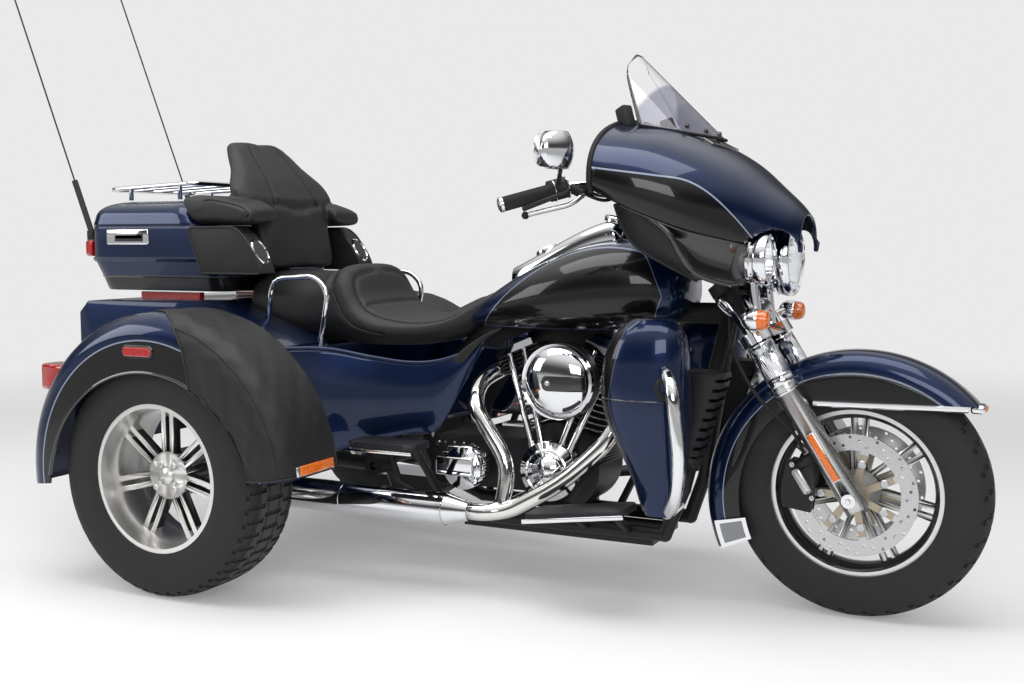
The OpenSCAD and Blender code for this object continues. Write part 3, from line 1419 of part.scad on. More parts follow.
// Upright lens with round corners, looking back from its middle
module lens(half_w, h, depth) rotate([0, 90, 0]) linear_extrude(depth)
    rounded_plate(-h / 2, h / 2, half_w, lamp_corner);
module rear_lamps() color("red") both_sides() {
    translate([case_x - case_lamp_t - seat_gap, -case_lamp_y - case_lamp_w / 2,
        case_lamp_z + case_lamp_h / 2]) lens(case_lamp_w / 2, case_lamp_h, case_lamp_t);
    difference() {
        translate([tail_lamp_x, -tail_lamp_y, tail_lamp_z + tail_lamp_h / 2]) intersection() {
            lens(tail_lamp_half, tail_lamp_h, 2 * tail_lamp_h);
            translate([lamp_dome_r, 0, 0]) cylinder(h = 2 * tail_lamp_h, r = lamp_dome_r, center = true);
        }
        across(rear_axle_x, rear_axle_z) cylinder(h = 2 * fender_half, r = rear_fender_r + seat_gap);
    }
    translate([strip_x, -strip_y - strip_t, body_top + seat_gap]) cube([strip_l, strip_t, strip_h]);
}

aerial_lean = 21.7;
aerial_y = 250;
aerial_out = 16;
aerial_base_r = 9;
aerial_base_l = 175;
aerial_r = 2.5;
aerial_foot = 22;
aerial_z = case_lamp_z + case_lamp_h + aerial_foot + seat_gap;
aerial_tip_x = -(front_axle_x + front_tyre_d / 2);
aerial_l = (case_x - aerial_out - aerial_tip_x - aerial_r * cos(aerial_lean)) / sin(aerial_lean);
module aerials() color("black") both_sides() union() {
    translate([case_x - aerial_out, -aerial_y, aerial_z]) rotate([0, -aerial_lean, 0]) {
        cylinder(h = aerial_base_l, r = aerial_base_r);
        cylinder(h = aerial_l, r = aerial_r);
    }
    translate([case_x - seat_gap - aerial_out - aerial_base_r, -aerial_y - aerial_foot / 2,
        aerial_z - aerial_foot]) cube([aerial_out + aerial_base_r, aerial_foot, aerial_foot * 1.3]);
}

grab_r = 8;
grab_y = 262;
grab_x = -462;
grab_l = 212;
grab_low = 640;
grab_h = 205;
grab_bend = 40;
// Round a grab rail from its front foot: share of its length, share of its height
grab_shares = [[0.835, 0], [1, 0.78], [0.788, 1], [0.104, 0.966], [0, 0.293]];
grab_path = [for (s = grab_shares) [grab_x + s[0] * grab_l, -grab_y, grab_low + s[1] * grab_h]];
module grab_rails() color("silver") difference() {
    both_sides() swept_bar(rounded_path(grab_path, grab_bend), grab_r);
    body_block();
}

frame();
engine_case();
cylinders();
rocker_covers();
pushrod_tubes();
air_cleaner();
engine_covers();
exhaust_headers();
mufflers();
fuel_tank();
tank_console();
seat();
rear_body();
side_covers();
rear_fender_right();
rear_fender_left();
rear_axle();
shock_absorbers();
rider_footboards();
passenger_footboards();
engine_guard();
leg_shields();
radiators();
skid_plate();
top_case();
speaker_pods();
rear_lamps();
aerials();
grab_rails();
fork_sliders();
fork_tubes();
triple_clamps();
front_axle();
handlebar();
hand_controls();
mirrors();
fairing();
dash();
fairing_wings();
windscreen();
headlamps();
turn_signals();
front_fender();
brake_calipers();
front_rim();
front_tyre();
brake_discs();
rear_rim_right();
rear_tyre_right();
rear_rim_left();
rear_tyre_left();
case_lid();
luggage_rack();
backrest();
trunk_door();
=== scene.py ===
import json
import math

import bmesh
import bpy
from mathutils import Matrix, Vector
from mathutils.bvhtree import BVHTree
from mathutils.kdtree import KDTree


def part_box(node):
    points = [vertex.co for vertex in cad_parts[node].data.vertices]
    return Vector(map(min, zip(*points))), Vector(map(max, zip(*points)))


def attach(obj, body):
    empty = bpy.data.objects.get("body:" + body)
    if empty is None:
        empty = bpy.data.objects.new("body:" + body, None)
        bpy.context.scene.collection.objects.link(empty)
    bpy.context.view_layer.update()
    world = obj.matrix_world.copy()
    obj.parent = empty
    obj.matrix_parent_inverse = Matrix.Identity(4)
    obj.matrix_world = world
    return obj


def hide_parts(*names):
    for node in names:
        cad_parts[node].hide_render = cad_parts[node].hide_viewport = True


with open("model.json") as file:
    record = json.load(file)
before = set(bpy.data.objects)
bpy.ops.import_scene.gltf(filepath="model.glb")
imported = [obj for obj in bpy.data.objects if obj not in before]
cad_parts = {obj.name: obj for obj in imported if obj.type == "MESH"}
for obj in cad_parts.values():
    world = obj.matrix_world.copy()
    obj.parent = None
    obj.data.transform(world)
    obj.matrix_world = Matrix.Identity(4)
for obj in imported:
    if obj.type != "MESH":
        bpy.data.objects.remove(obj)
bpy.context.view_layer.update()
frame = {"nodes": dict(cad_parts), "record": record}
scene = bpy.context.scene
scene.view_settings.view_transform = "Standard"

# The view: a camera at hip height ahead of the right rear wheel, fitted to the rims and the
# windscreen of the photograph. It looks a little back and down along the trike's right side.
camera_yaw, camera_pitch, camera_roll = math.radians(25.85), math.radians(5.07), math.radians(-0.19)
camera_at, sensor_width, focal_pixels, photo_pixels = (1.644, -2.993, 0.952), 36.0, 1174.6, 1024
camera = bpy.data.objects.new("camera", bpy.data.cameras.new("camera"))
camera.data.sensor_width = sensor_width
camera.data.lens = sensor_width * focal_pixels / photo_pixels
camera.matrix_world = (
    Matrix.Translation(camera_at)
    @ Matrix.Rotation(camera_yaw, 4, "Z")
    @ Matrix.Rotation(math.pi / 2 - camera_pitch, 4, "X")
    @ Matrix.Rotation(camera_roll, 4, "Z")
)
scene.collection.objects.link(camera)
scene.camera = camera


# Studio: a pale seamless floor, a wide soft light overhead and two soft sides. Each finish is a
# procedural material: sums of sockets add Math nodes, and other nodes come from Finish.node.
class Level:
    """A value socket that takes part in sums."""

    def __init__(self, finish, socket):
        self.finish, self.socket = finish, socket

    def math(self, operation, other=0.0, turned=False):
        pair = (other, self) if turned else (self, other)
        return self.finish.node("ShaderNodeMath", {"operation": operation}, {0: pair[0], 1: pair[1]})

    def __add__(self, other):
        return self.math("ADD", other)

    __radd__ = __add__

    def __sub__(self, other):
        return self.math("SUBTRACT", other)

    def __rsub__(self, other):
        return self.math("SUBTRACT", other, True)

    def __mul__(self, other):
        return self.math("MULTIPLY", other)

    __rmul__ = __mul__

    def __gt__(self, other):
        return self.math("GREATER_THAN", other)

    def __lt__(self, other):
        return self.math("LESS_THAN", other)

    def __abs__(self):
        return self.math("ABSOLUTE")

    def step(self, low, high):
        return self.finish.node("ShaderNodeMapRange", {"interpolation_type": "SMOOTHSTEP"},
                                {"Value": self, "From Min": low, "From Max": high})

    def power(self, other):
        return self.math("POWER", other)

    def most(self, other):
        return self.math("MAXIMUM", other)

    def span(self, other):
        return (self * self + other * other).power(0.5)


class Finish:
    """A material under way."""

    def __init__(self, name, **settings):
        self.material = bpy.data.materials.new(name)
        self.material.use_nodes = True
        self.tree = self.material.node_tree
        self.surface = self.tree.nodes["Principled BSDF"]
        self.set(**settings)

    def node(self, kind, settings=None, sockets=None, out=0):
        made = self.tree.nodes.new(kind)
        for key, value in (settings or {}).items():
            setattr(made, key, value)
        for key, value in (sockets or {}).items():
            self.join(value, made.inputs[key])
        return Level(self, made.outputs[out])

    def join(self, value, socket):
        if isinstance(value, Level):
            self.tree.links.new(value.socket, socket)
        elif socket.type == "RGBA" and len(value) == 3:
            socket.default_value = (*value, 1.0)
        else:
            socket.default_value = value

    def set(self, **settings):
        for key, value in settings.items():
            self.join(value, self.surface.inputs[key.replace("_", " ")])
        return self

    def parts(self, vector):
        split = self.node("ShaderNodeSeparateXYZ", None, {0: vector})
        return [Level(self, o) for o in split.socket.node.outputs]

    def spot(self):
        return self.node("ShaderNodeTexCoord", out=3)

    def place(self):
        return self.parts(self.spot())

    def facing(self):
        return self.parts(self.node("ShaderNodeTexCoord", out=1))

    def noise(self, scale, detail=2.0):
        return self.node("ShaderNodeTexNoise", None,
                         {"Vector": self.spot(), "Scale": scale, "Detail": detail})

    def cells(self, scale, kind="F1"):
        return self.node("ShaderNodeTexVoronoi", {"feature": kind},
                         {"Vector": self.spot(), "Scale": scale})

    def mix(self, factor, first, second):
        return self.node("ShaderNodeMix", {"data_type": "RGBA"}, {0: factor, 6: first, 7: second}, out=2)

    def bump(self, height, strength=0.2, distance=0.001):
        return self.set(Normal=self.node("ShaderNodeBump", None,
                                         {"Strength": strength, "Distance": distance, "Height": height}))


class Sky(Finish):
    def __init__(self):
        world = scene.world or bpy.data.worlds.new("studio")
        scene.world = world
        world.use_nodes = True
        self.tree = world.node_tree
        self.tree.nodes.clear()


background_level = 0.82
floor = bpy.data.objects.new("floor", bpy.data.meshes.new("floor"))
bm = bmesh.new()
bmesh.ops.create_circle(bm, cap_ends=True, segments=64, radius=9.0)
bm.to_mesh(floor.data)
bm.free()
scene.collection.objects.link(floor)
pale_floor = Finish("pale_floor", Base_Color=(0.74, 0.74, 0.745), Roughness=0.6, Specular_IOR_Level=0.2,
                    Emission_Color=(1.0, 1.0, 1.0, 1.0), Emission_Strength=0.2)
floor.data.materials.append(pale_floor.material)
floor_x, floor_y, _ = pale_floor.place()
far = floor_x.span(floor_y).step(2.6, 6.5)
clear = pale_floor.node("ShaderNodeBsdfTransparent")
lit = Level(pale_floor, pale_floor.surface.outputs[0])
blend = pale_floor.node("ShaderNodeMixShader", None, {0: far, 1: lit, 2: clear})
pale_floor.join(blend, pale_floor.tree.nodes["Material Output"].inputs["Surface"])

sky = Sky()
rays = sky.node("ShaderNodeLightPath").socket.node.outputs
camera_ray, glossy_ray, through_ray = (Level(sky, rays[n]) for n in
                                       ("Is Camera Ray", "Is Glossy Ray", "Is Transmission Ray"))
toward = sky.parts(sky.node("ShaderNodeTexCoord", out=0))
overhead = toward[2].step(0.25, 0.75)
level_ring = toward[2].step(-0.05, 0.02) * (1 - toward[2].step(0.02, 0.16))
room = overhead * 0.85 + level_ring * 0.5 + (1 - toward[2].step(-0.04, 0.0)) * 0.4 + 0.06
seen = camera_ray.most(through_ray)
strength = seen * background_level + (1 - seen) * (glossy_ray * room + (1 - glossy_ray) * 0.42)
surround = sky.node("ShaderNodeBackground", None, {"Color": (1.0, 1.0, 1.0), "Strength": strength})
sky.join(surround, sky.tree.nodes.new("ShaderNodeOutputWorld").inputs["Surface"])

for name, place, aim, size, power in (
        ("top_light", (0.2, -0.7, 3.4), (0.1, 0.0, 0.5), (4.4, 2.0), 90),
        ("near_light", (2.4, -3.8, 2.3), (0.3, 0.0, 0.6), (2.6, 1.4), 55),
        ("rear_light", (-3.4, -2.4, 2.2), (-0.5, 0.0, 0.6), (1.8, 1.8), 40)):
    lamp = bpy.data.objects.new(name, bpy.data.lights.new(name, "AREA"))
    lamp.data.shape, lamp.data.size, lamp.data.size_y, lamp.data.energy = "RECTANGLE", *size, power
    lamp.location = place
    lamp.rotation_mode = "QUATERNION"
    lamp.rotation_quaternion = (Vector(aim) - Vector(place)).to_track_quat("-Z", "Y")
    scene.collection.objects.link(lamp)


# Frame and running gear: welded steel tubes under black powder coat, a cast rear axle with its
# trailing arms, and black air springs. All of it keeps the shape that the frame gives it.
weld_within = 2e-5


def cast_metal(name, colour, metallic, rough, grain=700.0, depth=0.0006):
    made = Finish(name, Metallic=metallic, Specular_IOR_Level=0.3)
    skin = made.noise(grain, 3.0)
    blotch = made.noise(14.0, 3.0)
    made.set(Base_Color=made.mix(blotch, tuple(c * 0.78 for c in colour), colour), Roughness=skin * 0.14 + rough)
    return made.bump(skin, 0.25, depth)


def piece(name, bm, finishes, body, node=None, sharp=35.0, wall=0.0, levels=0):
    mesh = bpy.data.meshes.new(name)
    bm.to_mesh(mesh)
    bm.free()
    for finish in finishes:
        mesh.materials.append(finish.material)
    mesh.shade_smooth()
    if not levels:
        mesh.set_sharp_from_angle(angle=math.radians(sharp))
    made = bpy.data.objects.new(name, mesh)
    scene.collection.objects.link(made)
    if wall:
        thick = made.modifiers.new("wall", "SOLIDIFY")
        thick.thickness, thick.offset = wall, -1.0
    if levels:
        smooth = made.modifiers.new("smooth", "SUBSURF")
        smooth.levels = smooth.render_levels = levels
    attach(made, body)
    if node:
        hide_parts(*(node if isinstance(node, tuple) else (node,)))
    return made


def welded(bm):
    bmesh.ops.remove_doubles(bm, verts=bm.verts, dist=weld_within)


def cad_copy(node):
    bm = bmesh.new()
    bm.from_mesh(frame["nodes"][node].data)
    welded(bm)
    bmesh.ops.dissolve_degenerate(bm, edges=bm.edges, dist=1e-5)
    return bm


def dress(finish, *nodes):
    for node in nodes:
        shown = frame["nodes"][node]
        body = next(b for b, members in frame["record"]["behaviour"]["bodies"].items() if node in members)
        shown.data.materials.clear()
        shown.data.materials.append(finish.material)
        piece(node + "_smooth", cad_copy(node), [finish], body, node)


black_coat = cast_metal("black_coat", (0.014, 0.014, 0.015), 0.0, 0.32, 900.0, 0.0004)
black_cast = cast_metal("black_casting", (0.02, 0.02, 0.022), 0.2, 0.38)
black_rubber = cast_metal("black_rubber", (0.017, 0.017, 0.018), 0.0, 0.62, 420.0, 0.0008)
black_plastic = cast_metal("black_plastic", (0.016, 0.016, 0.018), 0.0, 0.42, 1300.0, 0.0004)
dress(black_coat, "frame", "skid_plate", "triple_clamps")
dress(black_cast, "rear_axle")
dress(black_rubber, "shock_absorbers")


# Engine: a black air-cooled V-twin with ground fin edges, a chromed dome over its air cleaner,
# chromed rocker boxes, tappet tubes and side covers, all bolted on with small cap screws. A black
# plastic cover hides the wiring between the heads and the tank.
crank = Vector((0.375, 0.0, 0.326))
bank_lean = math.radians(22.5)


def plating(name, colour=(0.82, 0.83, 0.85), rough=0.04):
    made = Finish(name, Metallic=1.0)
    marks = made.noise(9.0, 4.0)
    made.set(Base_Color=made.mix(marks, tuple(c * 0.93 for c in colour), colour), Roughness=marks * 0.05 + rough)
    return made


def finned_black(name):
    made = cast_metal(name, (0.018, 0.018, 0.02), 0.1, 0.36)
    x, y, z = made.place()
    ahead, up = x - crank.x, z - crank.z
    turned_x = abs(ahead) * math.cos(bank_lean) - up * math.sin(bank_lean)
    edge = (turned_x * turned_x + y * y) > 0.0738 ** 2
    bank = edge * ((abs(ahead) * math.sin(bank_lean) + up * math.cos(bank_lean)) < 0.289)
    skin = made.mix(bank, (0.018, 0.018, 0.02), (0.62, 0.62, 0.63))
    return made.set(Base_Color=skin, Metallic=bank, Roughness=0.36 - bank * 0.12)


def turned(bm, profile, centre, axis, steps=48, material=0):
    axis, centre = Vector(axis).normalized(), Vector(centre)
    side = axis.orthogonal().normalized()
    line = [bm.verts.new(centre + side * r + axis * h) for r, h in profile]
    edges = [bm.edges.new(pair) for pair in zip(line, line[1:])]
    before = set(bm.faces)
    bmesh.ops.spin(bm, geom=line + edges, cent=centre, axis=axis, angle=math.tau, steps=steps, use_merge=True)
    made = [f for f in bm.faces if f not in before]
    for face in made:
        face.material_index = material
    return made


def outward(bm):
    bmesh.ops.recalc_face_normals(bm, faces=bm.faces)


def closed(bm):
    welded(bm)
    bmesh.ops.holes_fill(bm, edges=[e for e in bm.edges if e.is_boundary])
    outward(bm)
    return bm


def screw(bm, place, axis, r, h, material=0):
    axis = Vector(axis).normalized()
    turn = axis.to_track_quat("Z", "Y").to_matrix().to_4x4()
    before = set(bm.faces)
    for segments, radius, top, depth, at in ((16, 1.0, 0.86, 0.7, 0.35), (6, 0.62, 0.56, 0.5, 0.9)):
        bmesh.ops.create_cone(bm, cap_ends=True, segments=segments, radius1=r * radius, radius2=r * top * radius,
                              depth=h * depth, matrix=Matrix.Translation(Vector(place) + axis * h * at) @ turn)
    for face in (f for f in bm.faces if f not in before):
        face.material_index = material


def block(bm, low, high, round_to=0.0, material=0, segments=3):
    low, high = Vector(low), Vector(high)
    before = set(bm.faces)
    made = bmesh.ops.create_cube(bm, size=1.0, matrix=Matrix.Translation((low + high) / 2)
                                 @ Matrix.Diagonal((*(high - low), 1.0)))["verts"]
    if round_to:
        bmesh.ops.bevel(bm, geom=list({e for v in made for e in v.link_edges}), offset=round_to, affect="EDGES",
                        segments=segments, profile=0.5, material=-1, offset_type="OFFSET")
    made = [f for f in bm.faces if f not in before]
    for face in made:
        face.material_index = material
    return made


chrome = plating("chrome")
satin = cast_metal("satin_aluminium", (0.66, 0.665, 0.68), 1.0, 0.24, 1500.0, 0.0002)
grey_cast = cast_metal("grey_casting", (0.33, 0.335, 0.345), 1.0, 0.33)
gloss_black = Finish("gloss_black", Base_Color=(0.005, 0.005, 0.006), Coat_Weight=1.0, Coat_Roughness=0.03)
gloss_black.set(Roughness=gloss_black.noise(30.0, 3.0) * 0.1 + 0.2)
dress(black_cast, "engine_case")
dress(finned_black("finned_black"), "cylinders")
dress(chrome, "rocker_covers", "pushrod_tubes")
wiring_low, wiring_high = (0.07, -0.012, 0.64), (0.50, 0.012, 0.708)
wiring_bm = bmesh.new()
block(wiring_bm, wiring_low, wiring_high, 0.004)
piece("wiring_cover", wiring_bm, [black_plastic], "chassis", None)

cover_bm = cad_copy("engine_covers")
right_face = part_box("engine_covers")[0][1]
cam_centre = Vector((crank.x, right_face + 0.004, crank.z))
for i in range(5):
    turn = math.tau * i / 5 + 0.3
    screw(cover_bm, cam_centre + Vector((math.cos(turn), 0, math.sin(turn))) * 0.05, (0, -1, 0), 0.0042, 0.006)
turned(cover_bm, [(0.0605, 0.0), (0.0625, 0.004), (0.059, 0.0065), (0.0555, 0.004), (0.0555, 0.0)],
       cam_centre + Vector((0, -0.001, 0)), (0, -1, 0))
turned(cover_bm, [(0.0, 0.0035), (0.03, 0.003), (0.033, 0.0)], cam_centre, (0, -1, 0), material=1)
piece("engine_covers_chromed", cover_bm, [chrome, satin], "chassis", "engine_covers")

gear_bm = bmesh.new()
gear_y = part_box("engine_case")[0][1]
gear_deep = 0.052
for low, high, out in ((0.292, 0.345, gear_deep), (0.345, 0.358, 0.04), (0.358, 0.373, 0.03)):
    shorter = (gear_deep - out) * 1.1
    block(gear_bm, (0.036 + shorter, gear_y - out, low), (0.152 - shorter, gear_y + 0.01, high), 0.006)
for i in range(4):
    screw(gear_bm, (0.05 + 0.03 * i, gear_y - 0.018, 0.378), (0, 0, 1), 0.005, 0.005)
for x, z in ((0.022, 0.31), (0.165, 0.3), (0.168, 0.35), (0.02, 0.372)):
    screw(gear_bm, (x, gear_y, z), (0, -1, 0), 0.007, 0.01)
piece("gear_cover", gear_bm, [chrome], "chassis", None)

air_low, air_high = (Vector(v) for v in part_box("air_cleaner"))
dome_r, dome_curve, dome_share = 0.1, 0.23, 0.449
dome = Vector((air_high.x - dome_r, air_low.y, air_low.z + dome_r))


def dome_rise(turn):
    return dome_curve * (math.cos(turn * dome_share) - 1)


dome_bm = bmesh.new()
turned(dome_bm, [(dome_r * math.sin(a), dome_rise(a)) for a in (math.pi / 2 * i / 10 for i in range(11))]
       + [(dome_r, -0.03), (dome_r - 0.006, -0.034), (dome_r - 0.006, -0.05)], dome, (0, -1, 0), 64)
turned(dome_bm, [(dome_r - 0.006, -0.05), (dome_r + 0.002, -0.052), (dome_r + 0.002, -0.084), (0.0, -0.084)],
       dome, (0, -1, 0), 64, 1)
closed(dome_bm)
piece("air_cleaner_dome", dome_bm, [chrome, black_cast], "chassis", "air_cleaner", 28.0)

throat_bm = bmesh.new()
for r, start, end, axis in ((0.024, 0.0, 0.135, (0.12, -1, -0.19)), (0.0205, -0.066, 0.066, (1, 0, 0))):
    turned(throat_bm, [(0.0, start), (r, start), (r, end), (0.0, end)], (crank.x, 0.0, 0.641), axis, 24)
closed(throat_bm)
piece("intake_throat", throat_bm, [black_cast], "chassis", None)

slot_bm = bmesh.new()
bmesh.ops.create_grid(slot_bm, x_segments=24, y_segments=8, size=0.5)
for v in slot_bm.verts:
    u, w = v.co.x + 0.5, v.co.y * 2
    half = 0.021 * (math.sqrt(max(0.0, 1 - (1 - u / 0.16) ** 2)) if u < 0.16 else 1.0)
    ahead, up = -0.032 + u * 0.118, w * half
    off = math.asin(min(1.0, math.hypot(ahead, up) / dome_r))
    v.co = dome + Vector((ahead, -dome_rise(off) - 0.0012, up))
outward(slot_bm)
screw(slot_bm, dome + Vector((-0.012, -0.0008, 0.0)), (0, -1, 0), 0.008, 0.005, 1)
piece("air_cleaner_panel", slot_bm, [gloss_black, chrome], "chassis", None, wall=0.001)

# Exhaust: chromed steel headers in slotted shields, a cross pipe under the frame, and a long
# muffler on each side with a turned end. Band clamps hold the joints.
dress(plating("exhaust_chrome", (0.80, 0.79, 0.77), 0.07), "exhaust_headers")
muffler_bm = cad_copy("mufflers")
muffler_front, muffler_side, muffler_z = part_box("mufflers")[1][0], 0.268, 0.224
for side in (-1, 1):
    y = side * muffler_side
    for at in (0.075, 0.4, 0.62):
        turned(muffler_bm, [(0.0435, -0.009), (0.0458, -0.008), (0.0458, 0.008), (0.0435, 0.009)],
               (muffler_front - at, y, muffler_z), (1, 0, 0), 48)
    for i in range(3):
        x = -0.33 + i * 0.16
        block(muffler_bm, (x, y - 0.005, 0.2665), (x + 0.09, y + 0.005, 0.2688), 0.002, 1)
piece("mufflers_chromed", muffler_bm, [chrome, black_cast], "chassis", "mufflers", 28.0)

# Wheels: cast aluminium with seven pairs of spokes, machined on their faces and black between,
# in road tyres. The front turns in the fork with two drilled discs, each held to the hub by a
# carrier with seven bosses. The rear pair turns on the axle.
front_axle = Vector((1.16, 0.0, 0.318))
tread_gap, tread_deep, groove_half, groove_deep = 0.0016, 0.0042, 0.004, 0.006


def machined_rim(name, centre, lip_r):
    made = Finish(name)
    x, y, z = made.place()
    reach = (x - centre.x).span(z - centre.z)
    faced = abs(made.facing()[1]).step(0.6, 0.8)
    bright = faced.most(reach > lip_r)
    brushed = made.node("ShaderNodeTexNoise", None,
                        {"Vector": made.node("ShaderNodeCombineXYZ", None, {0: reach * 900.0, 1: y * 20.0, 2: 0.0}),
                         "Scale": 1.0, "Detail": 2.0})
    made.set(Base_Color=made.mix(bright, (0.012, 0.012, 0.013), (0.78, 0.77, 0.75)), Metallic=bright * 0.9,
             Roughness=bright * (brushed * 0.16 + 0.27) + (1 - bright) * 0.34, Coat_Weight=(1 - bright) * 0.6)
    return made


def tread_rubber(name, centre, tread_r):
    made = cast_metal(name, (0.026, 0.026, 0.027), 0.0, 0.6, 260.0, 0.001)
    x, _, z = made.place()
    worn = (x - centre.x).span(z - centre.z) > tread_r - 0.0012
    made.set(Base_Color=made.mix(worn, (0.021, 0.021, 0.022), (0.05, 0.05, 0.051)))
    return made


def tyre(name, body, node, bead_r, shares, grooves, deep, every, slant, steps):
    low, high = (Vector(v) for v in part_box(node))
    centre, outer_r, half = (low + high) / 2, (high.z - low.z) / 2, (high.y - low.y) / 2
    side = [(bead_r + (outer_r - bead_r) * up, half * out) for out, up in shares]
    profile = [(r, -y) for r, y in side] + [(outer_r, 0.0)] + [(r, y) for r, y in reversed(side)]
    bm = bmesh.new()
    turned(bm, profile, centre, (0, 1, 0), steps)
    bmesh.ops.subdivide_edges(bm, edges=[e for e in bm.edges if abs(e.verts[0].co.y - e.verts[1].co.y) > 0.012], cuts=1)
    welded(bm)
    outward(bm)
    tread = []
    for face in bm.faces:
        middle = face.calc_center_median() - centre
        reach, turn = math.hypot(middle.x, middle.z), math.atan2(middle.z, middle.x)
        step = int((turn / math.tau + 1) * steps + slant * abs(middle.y) / half)
        if reach >= outer_r - deep and step % every == 0:
            tread.append(face)
    bmesh.ops.inset_region(bm, faces=tread, thickness=tread_gap, depth=-tread_deep, use_boundary=True,
                           use_even_offset=True)
    for groove in grooves:
        ring = [e for e in bm.edges if all(abs(v.co.y - centre.y - groove * half) < groove_half for v in e.verts)
                and all(math.hypot(v.co.x - centre.x, v.co.z - centre.z) > outer_r - deep for v in e.verts)]
        made = bmesh.ops.bevel(bm, geom=ring, offset=groove_half, affect="EDGES", segments=2, profile=0.5, material=-1)
        for v in {v for f in made["faces"] for v in f.verts}:
            if abs(v.co.y - centre.y - groove * half) < 0.0022:
                out = Vector((v.co.x - centre.x, 0, v.co.z - centre.z)).normalized()
                v.co -= out * groove_deep
    piece(name, bm, [tread_rubber(name + "_rubber", centre, outer_r)], body, node, 28.0)


front_shares = [(0.86, 0.06), (0.97, 0.2), (1, 0.36), (0.95, 0.62), (0.88, 0.73), (0.8, 0.81), (0.67, 0.89),
                (0.52, 0.945), (0.36, 0.98), (0.2, 0.996)]
rear_shares = [(0.92, 0.06), (0.98, 0.18), (1, 0.38), (0.98, 0.66), (0.965, 0.76), (0.92, 0.85), (0.87, 0.91),
               (0.8, 0.955), (0.64, 0.985), (0.45, 0.996), (0.22, 1.0)]
tyre("front_tyre_treaded", "front_wheel", "front_tyre", 0.2024, front_shares, (), 0.022, 4, 5.0, 132)
for side in ("right", "left"):
    tyre(f"rear_tyre_{side}_treaded", "rear_wheel_" + side, "rear_tyre_" + side, 0.191, rear_shares,
         (-0.64, -0.22, 0.22, 0.64), 0.017, 3, 2.0, 150)
    rim_low, rim_high = (Vector(v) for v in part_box("rear_rim_" + side))
    dress(machined_rim(f"rear_rim_{side}_machined", (rim_low + rim_high) / 2, 0.158), "rear_rim_" + side)
dress(machined_rim("front_rim_machined", front_axle, 0.199), "front_rim")

disc_steel = Finish("disc_steel", Metallic=1.0)
x, _, z = disc_steel.place()
reach = (x - front_axle.x).span(z - front_axle.z)
swept = reach > 0.105
rings = (reach * 1400.0).math("SINE") * 0.5 + 0.5
disc_steel.set(Base_Color=disc_steel.mix(swept, (0.45, 0.39, 0.30), (0.56, 0.56, 0.57)),
               Roughness=swept * (rings * 0.1 + 0.2) + (1 - swept) * 0.4)
dress(disc_steel, "brake_discs")
disc_arms, bobbin_ring, bobbin_y = 7, 0.08, 0.0745
bobbin_profile = [(0.0105, 0.0), (0.0105, 0.0025), (0.0085, 0.004), (0.0045, 0.004), (0.004, 0.002), (0.0, 0.002)]
bobbin_bm = bmesh.new()
for side in (-1, 1):
    for arm in range(disc_arms):
        turn = math.tau * (arm + 0.5) / disc_arms
        out = Vector((bobbin_ring * math.cos(turn), side * bobbin_y, bobbin_ring * math.sin(turn)))
        turned(bobbin_bm, bobbin_profile, front_axle + out, (0, side, 0), 24)
piece("disc_bobbins", closed(bobbin_bm), [satin], "front_wheel", None)

# Fork: bright sliders on chromed tubes, black clamps, black calipers with a polished inset, an
# amber reflector low on each leg, and rubber brake hoses from the calipers up to the clamp.
def lens_with_painted_glow(name, colour, deep):
    made = Finish(name, Roughness=0.08, Coat_Weight=1.0, Coat_Roughness=0.03)
    ribs = made.cells(220.0)
    # The faint glow in the lens's own colour is painted light. It shows on the lamps and also on the fork reflectors
    # and the dial needles, which are no lamps.
    made.set(Base_Color=made.mix(ribs.step(0.0, 0.9), colour, deep), Emission_Color=(*colour, 1.0),
             Emission_Strength=0.06)
    return made.bump(ribs, 0.35, 0.0008)


def rounded(points, r, steps=6):
    points = [Vector(p) for p in points]
    path = [points[0]]
    for before, here, after in zip(points, points[1:], points[2:]):
        a, b = before - here, after - here
        k = min(r, a.length / 2.05, b.length / 2.05)
        start, end = here + a.normalized() * k, here + b.normalized() * k
        path += [start.lerp(here, t).lerp(here.lerp(end, t), t) for t in (i / steps for i in range(steps + 1))]
    return path + [points[-1]]


def tube(bm, points, r, bend=0.04, material=0, sides=12):
    path = rounded(points, bend) if bend else [Vector(p) for p in points]
    before = set(bm.faces)
    ring = side = None
    for i, here in enumerate(path):
        ahead = (path[min(i + 1, len(path) - 1)] - path[max(i - 1, 0)]).normalized()
        side = (side - ahead * side.dot(ahead)).normalized() if side else ahead.orthogonal().normalized()
        turn = Matrix((side, ahead.cross(side), ahead)).transposed().to_4x4()
        last = ring
        ring = bmesh.ops.create_circle(bm, cap_ends=i in (0, len(path) - 1), segments=sides, radius=r,
                                       matrix=Matrix.Translation(here) @ turn)["verts"]
        if last:
            for j in range(sides):
                bm.faces.new((last[j], last[(j + 1) % sides], ring[(j + 1) % sides], ring[j]))
    made = [f for f in bm.faces if f not in before]
    bmesh.ops.recalc_face_normals(bm, faces=made)
    for face in made:
        face.material_index = material


amber_lens = lens_with_painted_glow("amber_lens", (0.85, 0.2, 0.01), (0.55, 0.09, 0.0))
red_lens = lens_with_painted_glow("red_lens", (0.55, 0.012, 0.012), (0.26, 0.002, 0.004))
fork_lean = math.radians(32)
up_leg = Vector((-math.sin(fork_lean), 0.0, math.cos(fork_lean)))
out_leg = Vector((math.cos(fork_lean), 0.0, math.sin(fork_lean)))
leg_side = 0.112


def put(bm, faces, matrix):
    bmesh.ops.transform(bm, matrix=matrix, verts=list({v for f in faces for v in f.verts}))


def on_leg(at, side):
    return Matrix.Translation(at) @ Matrix((out_leg, Vector((0, side, 0)), up_leg)).transposed().to_4x4()


